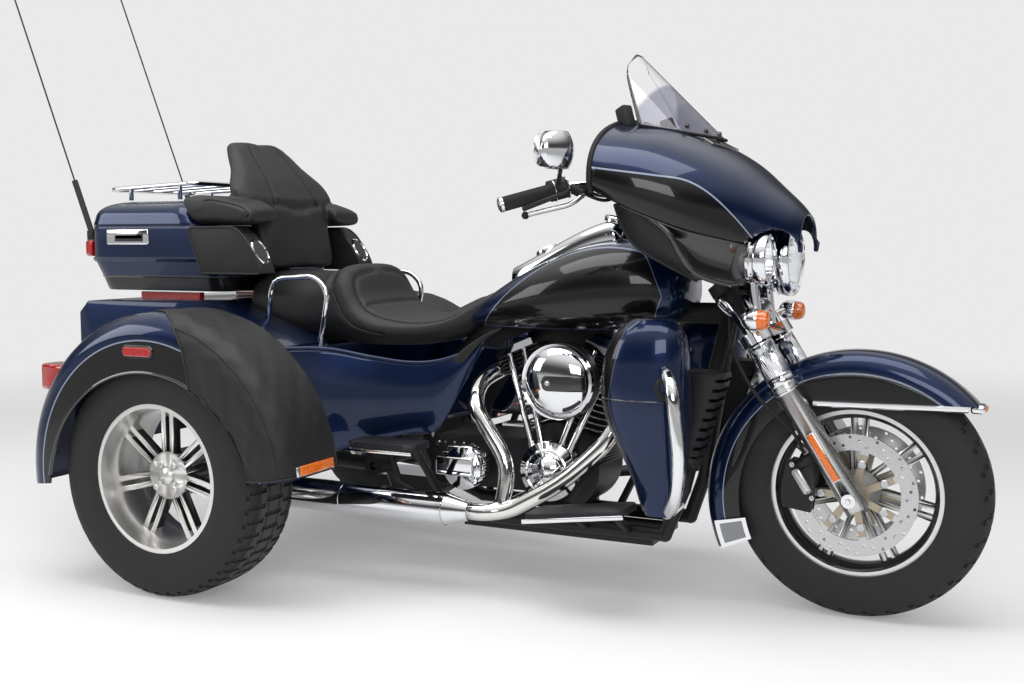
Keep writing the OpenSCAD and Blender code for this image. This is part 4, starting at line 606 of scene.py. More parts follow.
brushed = cast_metal("brushed_slider", (0.70, 0.70, 0.70), 1.0, 0.2, 1500.0, 0.0001)
x, y, z = brushed.place()
around_leg = brushed.node("ShaderNodeCombineXYZ", None,
                          {0: (x * out_leg.x + z * out_leg.z) * 700.0, 1: y * 700.0, 2: z * 4.0})
drawn = brushed.node("ShaderNodeTexNoise", None, {"Vector": around_leg, "Scale": 1.0})
brushed.set(Roughness=drawn * 0.22 + 0.12)
dress(brushed, "fork_sliders")
dress(chrome, "fork_tubes", "front_axle")
dress(black_cast, "brake_calipers")

leg_bm = bmesh.new()
for side in (-1, 1):
    leg = front_axle + Vector((0, side * leg_side, 0))
    for at, r, h in ((0.318, 0.0338, 0.02), (0.295, 0.0325, 0.008), (0.4285, 0.0352, 0.004),
                     (0.334, 0.0352, 0.004)):
        turned(leg_bm, [(0.024, 0.0), (r - 0.002, 0.0), (r, 0.003), (r, h - 0.003), (r - 0.002, h), (0.024, h)],
               leg + up_leg * at, up_leg, 40)
    screw(leg_bm, leg + Vector((0, side * 0.03, 0)), (0, side, 0), 0.014, 0.012)
piece("fork_rings", leg_bm, [chrome], "fork", None)

reflector_bm = bmesh.new()
for side in (-1, 1):
    for finish, out, wide, long in ((1, 0.0285, 0.0105, 0.066), (0, 0.0325, 0.0085, 0.063)):
        made = block(reflector_bm, (-wide, -0.005, -long), (wide, 0.003, long), 0.003, finish)
        put(reflector_bm, made, on_leg(front_axle + up_leg * 0.118 + Vector((0, side * (leg_side + out), 0)), side))
outward(reflector_bm)
piece("fork_reflectors", reflector_bm, [amber_lens, chrome], "fork", None)

caliper_bm = bmesh.new()
caliper_low, caliper_high = (Vector(v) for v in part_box("brake_calipers"))
caliper = (caliper_low + caliper_high) / 2
for side in (-1, 1):
    middle = Vector((caliper.x, side * caliper_high.y, caliper.z))
    made = block(caliper_bm, (-0.011, -0.002, -0.034), (0.011, 0.0025, 0.034), 0.008)
    put(caliper_bm, made, on_leg(middle, side))
    for k in (-1, 1):
        screw(caliper_bm, middle + up_leg * 0.047 * k, (0, side, 0), 0.007, 0.006)
outward(caliper_bm)
piece("caliper_insets", caliper_bm, [satin], "fork", None)

hose_bm = bmesh.new()
for side in (-1, 1):
    start = Vector((caliper.x, side * (caliper_high.y - 0.018), caliper_high.z - 0.012))
    tube(hose_bm, [start, start + Vector((-0.02, side * 0.012, 0.05)), (0.93, side * 0.15, 0.56),
                   (0.865, side * 0.148, 0.68), (0.845, side * 0.075, 0.772)], 0.0045, 0.06, 0, 10)
piece("brake_hoses", hose_bm, [black_rubber], "fork", None)

# Front fender: pressed steel over the front tyre, navy above and black below a fine stripe. A black
# skirt runs down each side to a straight chromed strip, with a lamp at the tip and a chromed mud
# plate behind.
navy_deep, navy_bright = (0.003, 0.008, 0.032), (0.008, 0.024, 0.088)
coat_black, stripe_silver, flake_metal = (0.0045, 0.0045, 0.0052), (0.30, 0.34, 0.46), 0.6


def two_tone(name, above=None, band=0.0022, gap=0.0):
    """Navy metallic under clear coat; above(x, y, z) is the height over the stripe, black below it."""
    made = Finish(name, Specular_IOR_Level=0.15, Coat_Weight=1.0, Coat_Roughness=0.02, Coat_IOR=1.38)
    flake, cloud = made.noise(2600.0, 1.0), made.noise(3.0, 2.0)
    colour = made.mix(flake * 0.6 + cloud * 0.3, navy_deep, navy_bright)
    metal = flake_metal
    if above:
        height = above(*made.place())
        navy_side = height.step(-0.0005, 0.0005)
        line = abs(height - gap).step(band + 0.0006, band)
        colour = made.mix(navy_side, coat_black, colour)
        colour = made.mix(line, colour, stripe_silver)
        metal = navy_side * flake_metal
    return made.set(Base_Color=colour, Metallic=metal, Roughness=flake * 0.1 + 0.24)


navy = two_tone("navy_paint")


fender_centre, fender_half = Vector((front_axle.x, 0, 0.293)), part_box("front_fender")[1][1]
stripe_r = 0.327


def fender_stripe(x, y, z):
    return (x - fender_centre.x).span(z - fender_centre.z) - stripe_r


fender_paint = two_tone("front_fender_paint", fender_stripe, 0.001)
piece("front_fender_painted", cad_copy("front_fender"), [fender_paint], "fork", "front_fender", 40.0)
trim_bm, skirt_bm = bmesh.new(), bmesh.new()


def skin(bm, columns, rows, point, material=0):
    made = bmesh.ops.create_grid(bm, x_segments=columns, y_segments=rows, size=0.5)["verts"]
    for v in made:
        v.co = point(v.co.x + 0.5, v.co.y + 0.5)
    for face in {f for v in made for f in v.link_faces}:
        face.material_index = material
    return made


def round_fender(degrees, r, y):
    turn = math.radians(degrees)
    return fender_centre + Vector((math.cos(turn) * r, y, math.sin(turn) * r))


for side in (-1, 1):
    strip_ends = [round_fender(a, r, side * (fender_half + 0.001)) for a, r in ((112, 0.267), (44.5, 0.361))]

    def skirt_point(u, v, side=side, ends=strip_ends):
        top = round_fender(118 - 66.5 * v, 0.3264, side * (fender_half + 0.0006))
        line = ends[0].lerp(ends[1], (top.x - ends[0].x) / (ends[1].x - ends[0].x))
        return Vector((top.x, top.y, top.z + (line.z - top.z) * u))

    def plate_point(u, w, k, out, side=side):
        inset = 0.012 * k
        return round_fender(203.4 - k * 1.6 - u * (11.8 - 3.2 * k), 0.271 + inset + w * (0.082 - 2 * inset),
                            side * (fender_half + out))
    skin(skirt_bm, 6, 36, skirt_point)
    tube(trim_bm, [strip_ends[0].lerp(strip_ends[1], i / 12) for i in range(13)], 0.0075, 0.0, 0, 10)
    for k, out in ((0, 0.0025), (1, 0.004)):
        skin(trim_bm, 6, 3, lambda u, w: plate_point(u, w, k, out), k)
outward(trim_bm)
tip = Matrix.Translation(round_fender(42.5, 0.366, 0))
put(trim_bm, block(trim_bm, (-0.012, -0.03, -0.011), (0.022, 0.03, 0.011), 0.008), tip)
put(trim_bm, block(trim_bm, (0.0, -0.024, -0.007), (0.026, 0.024, 0.007), 0.006, 2), tip)
piece("front_fender_skirts", skirt_bm, [fender_paint], "fork", None, 60.0, 0.003)
piece("front_fender_trim", trim_bm, [chrome, grey_cast, amber_lens], "fork", None)

# Handlebar: a chromed bar on two risers with black grips, switch boxes and levers. Chromed oval
# mirrors stand on stalks from the switch boxes, with cables looping into the fairing.
dress(chrome, "handlebar", "mirrors")
piece("hand_controls_moulded", cad_copy("hand_controls"), [black_plastic], "fork", "hand_controls")
grip_inner, grip_end = Vector((0.516, -0.332, 1.075)), Vector((0.385, -0.432, 1.0325))
detail_bm = bmesh.new()
for side in (-1, 1):
    flip = Matrix.Diagonal((1, -side, 1, 1))
    start, end = (flip @ p for p in (grip_inner, grip_end))
    ahead = (end - start).normalized()
    turned(detail_bm, [(0.0, 0.012), (0.012, 0.011), (0.0185, 0.007), (0.0192, 0.0), (0.0178, -0.002)],
           end + ahead * 0.006, ahead, 24, 1)
    for k in range(2):
        turned(detail_bm, [(0.0265, -0.0014), (0.0272, 0.0), (0.0265, 0.0014)], start.lerp(end, 0.06 + 0.2 * k),
               ahead, 32, 1)
    box_foot = start + Vector((0.02, 0, -0.012))
    for k in range(3):
        tube(detail_bm, [box_foot + Vector((0.0, 0.0, 0.006 * k)),
                         box_foot + Vector((0.06, -side * 0.04, -0.03 + 0.012 * k)),
                         (0.615, side * (0.2 + 0.012 * k), 1.085), (0.66, side * 0.17, 1.09)], 0.0042, 0.05, 0, 8)
    pivot = start + Vector((0.035, side * 0.004, -0.02))
    tip_end = start.lerp(end, 0.86) + Vector((0.03, 0, -0.034))
    tube(detail_bm, [start + Vector((0.0, 0, -0.004)), pivot], 0.012, 0.0, 0, 14)
    tube(detail_bm, [pivot, pivot.lerp(end, 0.3) + Vector((0.03, 0, -0.018)),
                     pivot.lerp(end, 0.6) + Vector((0.03, 0, -0.024)), tip_end], 0.0062, 0.03, 2, 12)
    bmesh.ops.create_uvsphere(detail_bm, u_segments=16, v_segments=10, radius=0.0095,
                              matrix=Matrix.Translation(tip_end))
closed(detail_bm)
piece("grip_details", detail_bm, [black_rubber, chrome, satin], "fork", None)

glass_bm = bmesh.new()
for side in (-1, 1):
    made = bmesh.ops.create_circle(glass_bm, cap_ends=True, segments=48, radius=0.039)["verts"]
    for v in made:
        reach = 0.024 * (1 if v.co.x > 0 else -1) if abs(v.co.x) > 1e-6 else 0.0
        v.co = Vector((0.4885, side * 0.425 + v.co.x + reach, 1.157 + v.co.y))
mirror_silver = plating("mirror_silver", (0.9, 0.91, 0.92), 0.01)
outward(glass_bm)
piece("mirror_glasses", glass_bm, [mirror_silver], "fork", None, wall=0.0015)

# Fairing: a moulded shell on the fork, navy above its stripe and black below, over concave black
# flanks. It has a vent under the screen, its openings a near-black matt sheet of painted shade, a lip
# along its hem and a matt gasket round its rear edge.
fairing_x, fairing_z = 0.585, 0.835
fairing_l, fairing_half, fairing_h, fairing_round = 0.44, 0.4, 0.45, 2.3
# Along the fairing: place, half width, top, bottom, widest height
fairing_rows = ((0, .965, .92, .39, .57), (.15, .985, .895, .27, .53), (.307, .955, .86, .155, .49),
                (.49, .86, .785, .06, .43), (.67, .7, .68, .01, .38), (.83, .5, .545, 0, .31),
                (.943, .35, .445, .03, .25), (1, .24, .38, .1, .22))
lamp_side, lamp_z = 0.166, 0.897


def row(table, t):
    place = min(max(t, 0.0), 1.0) * (len(table) - 1)
    i = min(int(place), len(table) - 2)
    f = place - i
    a, b, c, d = (table[min(max(k, 0), len(table) - 1)] for k in (i - 1, i, i + 1, i + 2))
    return [(2 * q + (r - p) * f + (2 * p - 5 * q + 4 * r - s) * f * f + (3 * q - p - 3 * r + s) * f ** 3) / 2
            for p, q, r, s in zip(a, b, c, d)]


def bow(c, e):
    return math.copysign(abs(c) ** (2 / e), c)


def fairing_point(t, degrees, out=0.0):
    place, half, top, low, wide = row(fairing_rows, t)
    turn = math.radians(degrees)
    up = math.sin(turn)
    lift = (top - wide if up > 0 else wide - low) * fairing_h + out
    return Vector((fairing_x + place * fairing_l, (half * fairing_half + out) * bow(math.cos(turn), fairing_round),
                   fairing_z + wide * fairing_h + lift * bow(up, fairing_round)))


def fairing_stripe(x, y, z):
    past = (x - 0.78).most(0.0)
    return z - (1.121 - (x - 0.585) * 0.14 - past * past * 5.0)


def faced(bm, away):
    """Normals made even, and turned over where they look against away(place) on the whole."""
    outward(bm)
    if sum(f.normal.dot(away(f.calc_center_median())) for f in bm.faces) < 0:
        bmesh.ops.reverse_faces(bm, faces=bm.faces)


def lamp_offset(co):
    return Vector((0, abs(co.y) - lamp_side, co.z - lamp_z))


hem_turn, lamp_hole_x, lamp_hole_r = -18, 0.88, 0.071
shell_bm = bmesh.new()
skin(shell_bm, 96, 72, lambda u, v: fairing_point(v, hem_turn + (180 - 2 * hem_turn) * u))
bmesh.ops.delete(shell_bm, context="FACES", geom=[f for f in shell_bm.faces if f.calc_center_median().x > lamp_hole_x
                                                  and lamp_offset(f.calc_center_median()).length < 0.07])
for v in shell_bm.verts:
    off = lamp_offset(v.co)
    if v.is_boundary and v.co.x > lamp_hole_x and 0.06 < off.length < 0.085:
        off = off.normalized() * lamp_hole_r
        v.co.y, v.co.z = math.copysign(lamp_side + off.y, v.co.y), lamp_z + off.z
faced(shell_bm, lambda at: Vector((0, 0, 1)))
piece("fairing_shell", shell_bm, [two_tone("fairing_paint", fairing_stripe, 0.0018, -0.004)], "fork", "fairing",
      60.0, 0.006)

# Along the hem of the cheek and along the foot of the flank, back to front: x, out from the middle, z
cheek_foot = ((.679, .35, 1.027), (.76, .34, .969), (.792, .32, .911), (.816, .29, .868), (.875, .23, .84),
              (.908, .19, .845))
flank_foot = ((.621, .33, 1.028), (.646, .32, .959), (.685, .3, .916), (.78, .28, .862), (.807, .26, .846))
flank_bm = bmesh.new()
for side in (-1, 1):
    def cheek_point(u, v, side=side):
        top, foot = fairing_point(0.15 + 0.56 * v, hem_turn), Vector(row(cheek_foot, v))
        at = Vector((top.x, abs(top.y) - 0.003, top.z)).lerp(foot, u)
        at.y -= 0.034 * math.sin(math.pi * u) * (0.25 + 0.75 * v)
        return Vector((at.x, side * at.y, at.z))

    def flank_point(u, v, side=side):
        top, foot = Vector(row(cheek_foot, v * 0.7)), Vector(row(flank_foot, v))
        at = top.lerp(foot, u) - Vector((0, 0.012 + 0.012 * u, 0))
        return Vector((at.x, side * (at.y + 0.012 * math.sin(math.pi * u)), at.z))

    skin(flank_bm, 20, 40, cheek_point)
    skin(flank_bm, 14, 30, flank_point, 1)
    tube(flank_bm, [cheek_point(1.0, i / 40) for i in range(41)], 0.008, 0.0, 0, 10)
    tube(flank_bm, [flank_point(1.0, i / 30) for i in range(31)], 0.005, 0.0, 1, 8)
    tube(flank_bm, [flank_point(i / 12, 0.0) for i in range(13)], 0.005, 0.0, 1, 8)
outward(flank_bm)
piece("fairing_flanks", flank_bm, [gloss_black, black_plastic], "fork", "fairing_wings", 60.0, 0.003)

gasket_bm = bmesh.new()
tube(gasket_bm, [fairing_point(0.0, a) + Vector((-0.001, 0, 0)) for a in range(hem_turn, 181 - hem_turn, 6)],
     0.007, 0.0, 0, 8)
for side in (-1, 1):
    put(gasket_bm, block(gasket_bm, (-0.02, -0.016, -0.03), (0.016, 0.016, 0.03), 0.006),
        Matrix.Translation((0.6, side * 0.176, 1.25)) @ Matrix.Rotation(side * 0.5, 4, "Z")
        @ Matrix.Rotation(-0.35, 4, "Y"))
piece("fairing_gasket", gasket_bm, [black_rubber], "fork", None)

vent_bm = bmesh.new()


def vent_point(u, v):
    aside = 2 * u - 1
    return fairing_point(0.425 + 0.05 * v - 0.035 * aside * aside, 90 + aside * (12 + 4 * v), 0.0015)


skin(vent_bm, 20, 6, vent_point)
outward(vent_bm)
edge_line = [vent_point(i / 24, 0.0) for i in range(25)] + [vent_point(1 - i / 24, 1.0) for i in range(25)]
tube(vent_bm, edge_line + edge_line[:1], 0.004, 0.0, 1, 8)
for aside in (0.33, 0.67):
    tube(vent_bm, [vent_point(aside, 0.05), vent_point(aside, 0.95)], 0.004, 0.0, 1, 8)
# The vent's openings are not cut: a near-black matt sheet inside the frame is painted shade for the hollow behind them.
vent_shade_sheet = Finish("vent_painted_shade", Base_Color=(0.002, 0.002, 0.002), Roughness=0.7)
vent_shade_sheet.bump(vent_shade_sheet.noise(60.0), 0.3)
piece("fairing_vent", vent_bm, [vent_shade_sheet, gloss_black], "fork", None)

dash_bm = bmesh.new()


def dash_point(u, v):
    rim = fairing_point(0.03, hem_turn + (180 - 2 * hem_turn) * u, -0.008)
    return Vector((rim.x - 0.004 * v, rim.y * (1 - v), rim.z + (1.12 - rim.z) * v))


skin(dash_bm, 60, 10, dash_point)
welded(dash_bm)
outward(dash_bm)
piece("dash_moulded", dash_bm, [black_plastic], "fork", "dash", 60.0, 0.008)
dial_x, dial_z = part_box("dash")[0][0] - 0.0005, 1.17
dial_bm = bmesh.new()
dial_face = Finish("dial_face", Roughness=0.25, Coat_Weight=1.0)
for side in (-1, 1):
    for y, r in ((0.062, 0.046), (0.165, 0.024)):
        centre = Vector((dial_x, side * y, dial_z))
        turned(dial_bm, [(r * 0.86, 0.0), (r * 0.9, 0.004), (r, 0.004), (r * 1.04, 0.0)], centre, (-1, 0, 0), 48)
        turned(dial_bm, [(0.0, 0.0008), (r * 0.88, 0.0008)], centre, (-1, 0, 0), 48, 1)
        for i in range(9):
            turn = math.radians(225 - 33.75 * i)
            at = centre + Vector((-0.0012, math.cos(turn) * r * 0.7, math.sin(turn) * r * 0.7))
            put(dial_bm, block(dial_bm, (-0.0004, -r * 0.1, -r * 0.02), (0.0004, r * 0.1, r * 0.02), 0, 2),
                Matrix.Translation(at) @ Matrix.Rotation(turn, 4, "X"))
        put(dial_bm, block(dial_bm, (-0.0006, -r * 0.5, -r * 0.025), (0.0006, r * 0.1, r * 0.025), 0, 3),
            Matrix.Translation(centre + Vector((-0.002, 0, 0))) @ Matrix.Rotation(0.7, 4, "X"))
dial_face.set(Base_Color=dial_face.mix(dial_face.noise(40.0), (0.55, 0.55, 0.53), (0.62, 0.62, 0.6)))
dial_ink = Finish("dial_ink", Roughness=0.5)
dial_ink.set(Base_Color=dial_ink.mix(dial_ink.noise(80.0), (0.01, 0.01, 0.01), (0.02, 0.02, 0.02)))
piece("dials", dial_bm, [chrome, dial_face, dial_ink, red_lens], "fork", None)

# Windscreen: a bent clear sheet standing out of the fairing, tinted along its foot, held by a row
# of black screws and cut to a round top.
screen_base, screen_top = Vector((0.806, 0, 1.199)), Vector((0.573, 0, 1.43))
screen_foot_half, screen_taper, screen_sweep, screen_unbend, screen_lift = 0.195, 0.1, 0.165, 0.143, 0.029
foot_steps, foot_sink = 80, 0.004


def screen_point(u, v):
    t = v * (1 - 0.2 * abs(u) ** 3)
    return Vector((screen_base.x + (screen_top.x - screen_base.x) * t - (screen_sweep - screen_unbend * t) * u * u,
                   u * (screen_foot_half - screen_taper * t) * (1 - 0.3 * v ** 8),
                   screen_base.z + (screen_top.z - screen_base.z) * t + screen_lift * (1 - 0.7 * t) * u * u))


def fairing_top(x, y):
    place = (x - fairing_x) / fairing_l
    i = next((k for k in range(len(fairing_rows) - 2) if fairing_rows[k + 1][0] > place), len(fairing_rows) - 2)
    a, b = fairing_rows[i], fairing_rows[i + 1]
    _, half, top, _, wide = (p + (q - p) * (place - a[0]) / (b[0] - a[0]) for p, q in zip(a, b))
    inside = 1 - min(1.0, abs(y) / (half * fairing_half)) ** fairing_round
    return fairing_z + (wide + (top - wide) * inside ** (1 / fairing_round)) * fairing_h


def screen_foot(u):
    for v in (i / foot_steps for i in range(60)):
        at = screen_point(u, v)
        if at.z > fairing_top(at.x, at.y) - foot_sink:
            return v
    return 0.0


def on_screen(u, v):
    u, foot = 2 * u - 1, screen_foot(2 * u - 1)
    return screen_point(u, foot + (1 - foot) * v)


clear_screen = Finish("clear_screen", Roughness=0.0, IOR=1.45, Transmission_Weight=1.0)
_, y, z = clear_screen.place()
tint = (z - (1.345 - y * y * 2.5)).step(0.004, -0.004)
clear_screen.set(Base_Color=clear_screen.mix(tint, (0.985, 0.99, 0.995), (0.42, 0.42, 0.50)))
screen_bm = bmesh.new()
skin(screen_bm, 48, 26, on_screen)
outward(screen_bm)
piece("windscreen_sheet", screen_bm, [clear_screen], "fork", "windscreen", 60.0, 0.004)
screw_bm = bmesh.new()
for u, v in ((0.5, 0.07), (0.22, 0.1), (0.78, 0.1), (0.34, 0.075), (0.66, 0.075)):
    at, side, up = on_screen(u, v), on_screen(u + 0.01, v), on_screen(u, v + 0.01)
    normal = (side - at).cross(up - at).normalized()
    screw(screw_bm, at, normal if normal.x > 0 else -normal, 0.0075, 0.006)
tube(screw_bm, [on_screen(i / 40, 0.004) for i in range(41)], 0.004, 0.0, 1, 8)
piece("windscreen_screws", screw_bm, [gloss_black, black_rubber], "fork", None)

# Lamps: a round headlamp between two smaller ones on a chromed bar below the fairing. Each has a
# deep plated bowl, a faceted reflector, a capped bulb and a clear lens with moulded flutes. A
# chromed nacelle and a cover on the lower fork clamp close the gap under the bar.
bar_x, bar_z = 0.898, 0.868
lens_glass = Finish("lens_glass", Base_Color=(0.97, 0.98, 1.0), Roughness=0.02, IOR=1.35, Transmission_Weight=1.0)
lens_glass.bump(lens_glass.cells(70.0), 0.15, 0.001)
reflector = plating("lamp_reflector", (0.93, 0.93, 0.94), 0.06)
reflector.bump(reflector.cells(46.0), 0.5, 0.004)
lamp_bm, lens_bm = bmesh.new(), bmesh.new()
for x, y, r, deep in ((0.985, 0.0, 0.089, 0.086), (0.96, lamp_side, 0.058, 0.06), (0.96, -lamp_side, 0.058, 0.06)):
    centre = (x, y, lamp_z)
    bowl = [(r * math.cos(a), -0.022 + deep * math.sin(a)) for a in (math.radians(d) for d in range(-90, 1, 9))]
    trim_ring = [(r + 0.004, -0.02), (r + 0.007, -0.012), (r + 0.007, 0.002), (r + 0.003, 0.008), (r - 0.003, 0.009),
                 (r - 0.006, 0.003)]
    bowl_ring = [(r + 0.0045, -0.034), (r + 0.001, -0.03), (r + 0.001, -0.026), (r + 0.0045, -0.022)]
    mirror = [(r - 0.005, 0.004), (r * 0.8, -0.022), (r * 0.5, -0.038), (r * 0.2, -0.044), (0.0, -0.045)]
    bulb = [(0.0, 0.0), (r * 0.13, -0.003), (r * 0.15, -0.012), (r * 0.09, -0.03), (r * 0.09, -0.044)]
    for profile, steps, material in ((bowl + trim_ring, 64, 0), (bowl_ring, 64, 0), (mirror, 40, 1), (bulb, 24, 0)):
        turned(lamp_bm, profile, centre, (1, 0, 0), steps, material)
    turned(lens_bm, [((r - 0.004) * math.sin(a), 0.002 + 0.013 * math.cos(a)) for a in
                     (math.pi / 2 * i / 8 for i in range(8, -1, -1))], centre, (1, 0, 0), 56)
for bm in (lamp_bm, lens_bm):
    welded(bm)
tube(lamp_bm, [(bar_x, -lamp_side, bar_z), (bar_x, lamp_side, bar_z)], 0.015, 0.01, 0, 24)
for side in (-1, 1):
    tube(lamp_bm, [(bar_x, side * 0.072, bar_z), (0.915, side * 0.072, 0.722)], 0.014, 0.01, 0, 20)
    tube(lamp_bm, [(bar_x, side * lamp_side, 0.866), (0.925, side * lamp_side, 0.85)], 0.014, 0.01, 0, 20)
outward(lens_bm)
piece("lamps_chromed", lamp_bm, [chrome, reflector], "fork", "headlamps", 40.0)
piece("lamp_lenses", lens_bm, [lens_glass], "fork", None, wall=0.002)

nacelle_bm = bmesh.new()
# Along the nacelle: place, half width, half height
nacelle_rows = ((.02, .1, .02), (.25, .132, .03), (.55, .126, .036), (.85, .1, .034), (1, .07, .022))


def nacelle_point(u, v):
    place, half, thick = row(nacelle_rows, v)
    turn = math.tau * u
    return Vector((0.808 + place * 0.108 + math.sin(turn) * thick * 0.5, half * bow(math.cos(turn), 3.0),
                   0.812 - place * 0.07 + math.sin(turn) * thick))


skin(nacelle_bm, 36, 16, nacelle_point)
closed(nacelle_bm)
piece("lamp_nacelle", nacelle_bm, [chrome], "fork", None, 50.0)

clamp_bm = cad_copy("triple_clamps")
steer_foot, steer_axis, clamp_gap = Vector((1.26, 0.0, 0.0)), Vector((-0.438371, 0.0, 0.898794)), 0.0012
climb = {v: (v.co - steer_foot).dot(steer_axis) for v in clamp_bm.verts}
half_way = (min(climb.values()) + max(climb.values())) / 2
bmesh.ops.delete(clamp_bm, geom=[v for v, height in climb.items() if height > half_way], context="VERTS")
closed(clamp_bm)
for v in clamp_bm.verts:
    v.co += v.normal * clamp_gap
piece("clamp_cover", clamp_bm, [chrome], "fork", None)

signal_bm = bmesh.new()
for side in (-1, 1):
    centre = (0.91, side * 0.2, 0.752)
    turned(signal_bm, [(0.0, -0.004), (0.012, -0.002), (0.021, 0.006), (0.0265, 0.016), (0.027, 0.036), (0.025, 0.04)],
           centre, (1, 0, 0), 40)
    turned(signal_bm, [(0.0255, 0.038), (0.0245, 0.052), (0.02, 0.061), (0.012, 0.065), (0.0, 0.0665)],
           centre, (1, 0, 0), 40, 1)
    tube(signal_bm, [(0.925, side * 0.18, 0.752), (0.905, side * 0.13, 0.742)], 0.0095, 0.01, 0, 16)
closed(signal_bm)
piece("signal_lamps", signal_bm, [chrome, amber_lens], "fork", "turn_signals")

# Fuel tank: pressed steel saddled over the frame, navy with a black teardrop panel on each side
# inside a fine stripe, and a chromed console with its filler cap and gauge along the top.
tank_x, tank_z, tank_l, tank_half, tank_h, tank_round, tank_waist = 0.09, 0.693, 0.635, 0.19, 0.255, 2.5, 0.42
# Along the tank: place, half width, top, bottom
tank_rows = ((0, .3, .16, .05), (.05, .47, .28, .035), (.125, .63, .43, .025), (.25, .79, .62, .01),
             (.41, .94, .81, 0), (.57, 1, .95, .01), (.725, .975, 1, .04), (.866, .87, .95, .09),
             (.96, .66, .83, .165), (1, .42, .71, .28))


def ring_point(place, low, high, half, waist, power, u):
    turn = math.tau * u
    up, middle = math.sin(turn), low + (high - low) * waist
    return Vector((place, half * bow(math.cos(turn), power),
                   middle + (high - middle if up > 0 else middle - low) * bow(up, power)))


def tank_point(u, v):
    place, half, top, low = row(tank_rows, v)
    return ring_point(tank_x + place * tank_l, tank_z + low * tank_h, tank_z + top * tank_h, half * tank_half,
                      tank_waist, tank_round, u)


def tank_panel(x, y, z):
    behind, nose = x - 0.535, (x - 0.62).most(0.0)
    top = 0.921 - behind * behind * 1.5 - nose * nose * 22.0
    foot = 0.712 + nose * nose * 22.0
    return (z - top).most(foot - z)


tank_bm = bmesh.new()
skin(tank_bm, 56, 44, tank_point)
closed(tank_bm)
piece("tank_painted", tank_bm, [two_tone("tank_paint", tank_panel, 0.0016, 0.004)], "chassis", "fuel_tank",
      60.0)

console_bm = bmesh.new()
# Along the console: place, half width, top
console_rows = ((0, .5, .68), (.12, .8, .75), (.35, .95, .9), (.65, 1, 1.09), (.88, 1, 1.19), (.96, .9, 1.18),
                (1, .7, 1.1))


def console_point(u, v):
    place, half, top = row(console_rows, v)
    top = tank_z + top * tank_h
    return ring_point(0.205 + place * 0.33, top - 0.11, top, half * 0.046, 0.5, 3.0, u)


skin(console_bm, 40, 30, console_point)
closed(console_bm)
for v, r, glass in ((0.3, 0.03, 1), (0.76, 0.034, 2)):
    at = console_point(0.25, v)
    lean = (console_point(0.25, v + 0.02) - console_point(0.25, v - 0.02)).cross(Vector((0, 1, 0))).normalized()
    lean = lean if lean.z > 0 else -lean
    turned(console_bm, [(r * 1.08, -0.008), (r * 1.08, 0.003), (r, 0.007), (r * 0.9, 0.0075), (r * 0.86, 0.005),
                        (0.0, 0.0045)], at, lean, 40)
    turned(console_bm, [(r * 0.86, 0.0055), (0.0, 0.006)], at, lean, 32, glass)
bmesh.ops.remove_doubles(console_bm, verts=console_bm.verts, dist=1e-5)
piece("tank_console_chromed", console_bm, [chrome, gloss_black, dial_face], "chassis", "tank_console", 40.0)

# Seat: a bucket for the rider and a raised pillion pad in one, foam under black leather with
# welted seams.
seat_x, seat_z, seat_l, seat_half, seat_h = -0.6, 0.6463, 0.775, 0.205, 0.226
# Along the seat: place, half width, top, bottom
seat_rows = ((0, .8, .86, .02), (.03, .94, .92, 0), (.14, .98, .9, 0), (.3, .97, .9, 0), (.37, .96, .97, 0),
             (.415, .97, 1, 0), (.45, 1, .95, 0), (.5, 1.02, .62, 0), (.58, 1, .42, 0), (.7, .86, .37, .02),
             (.8, .66, .42, .08), (.88, .5, .55, .2), (.95, .36, .7, .42), (1, .2, .77, .6))
hide_swell, hide_cap, hide_voxel, hide_frames = 4.0, 0.008, 0.007, 20


def leather(name, colour=(0.013, 0.013, 0.0142)):
    made = Finish(name, Specular_IOR_Level=0.35, Sheen_Weight=0.03, Sheen_Roughness=0.5)
    grain, pores, wear = made.cells(520.0, "DISTANCE_TO_EDGE"), made.noise(1500.0, 3.0), made.noise(7.0, 4.0)
    made.set(Base_Color=made.mix(wear, tuple(c * 0.8 for c in colour), tuple(c * 1.35 for c in colour)),
             Roughness=wear * 0.16 + pores * 0.08 + 0.34)
    return made.bump(grain.step(0.0, 0.12) * 0.7 + pores * 0.3, 0.3, 0.0009)


def swell(name, bm):
    """The foam shape bm filled out under its cover: remeshed, blown up as cloth, and held within the cap."""
    blank = bpy.data.objects.new(name + "_blank", bpy.data.meshes.new(name + "_blank"))
    bm.to_mesh(blank.data)
    bm.free()
    scene.collection.objects.link(blank)
    mesher = blank.modifiers.new("even", "REMESH")
    mesher.mode, mesher.voxel_size = "VOXEL", hide_voxel
    even = bpy.data.meshes.new_from_object(blank.evaluated_get(bpy.context.evaluated_depsgraph_get()))
    bpy.data.objects.remove(blank)
    form = bpy.data.objects.new(name + "_form", even)
    scene.collection.objects.link(form)
    rest = [v.co.copy() for v in even.vertices]
    cover = form.modifiers.new("cover", "CLOTH")
    cover.settings.quality = 4
    cover.settings.use_pressure, cover.settings.uniform_pressure_force = True, hide_swell
    cover.settings.effector_weights.gravity = 0.0
    cover.collision_settings.use_collision = False
    cover.point_cache.frame_start, cover.point_cache.frame_end = 1, hide_frames
    for step in range(1, hide_frames + 1):
        scene.frame_set(step)
    blown = form.evaluated_get(bpy.context.evaluated_depsgraph_get()).data
    moves = [b.co - a for a, b in zip(rest, blown.vertices)]
    form.modifiers.clear()
    scene.frame_set(1)
    for v, at, move in zip(even.vertices, rest, moves):
        v.co = at + move * min(1.0, hide_cap / max(move.length, 1e-9))
    made = bmesh.new()
    made.from_mesh(even)
    bpy.data.objects.remove(form)
    bmesh.ops.smooth_vert(made, verts=made.verts, factor=0.5, use_axis_x=True, use_axis_y=True, use_axis_z=True)
    return made


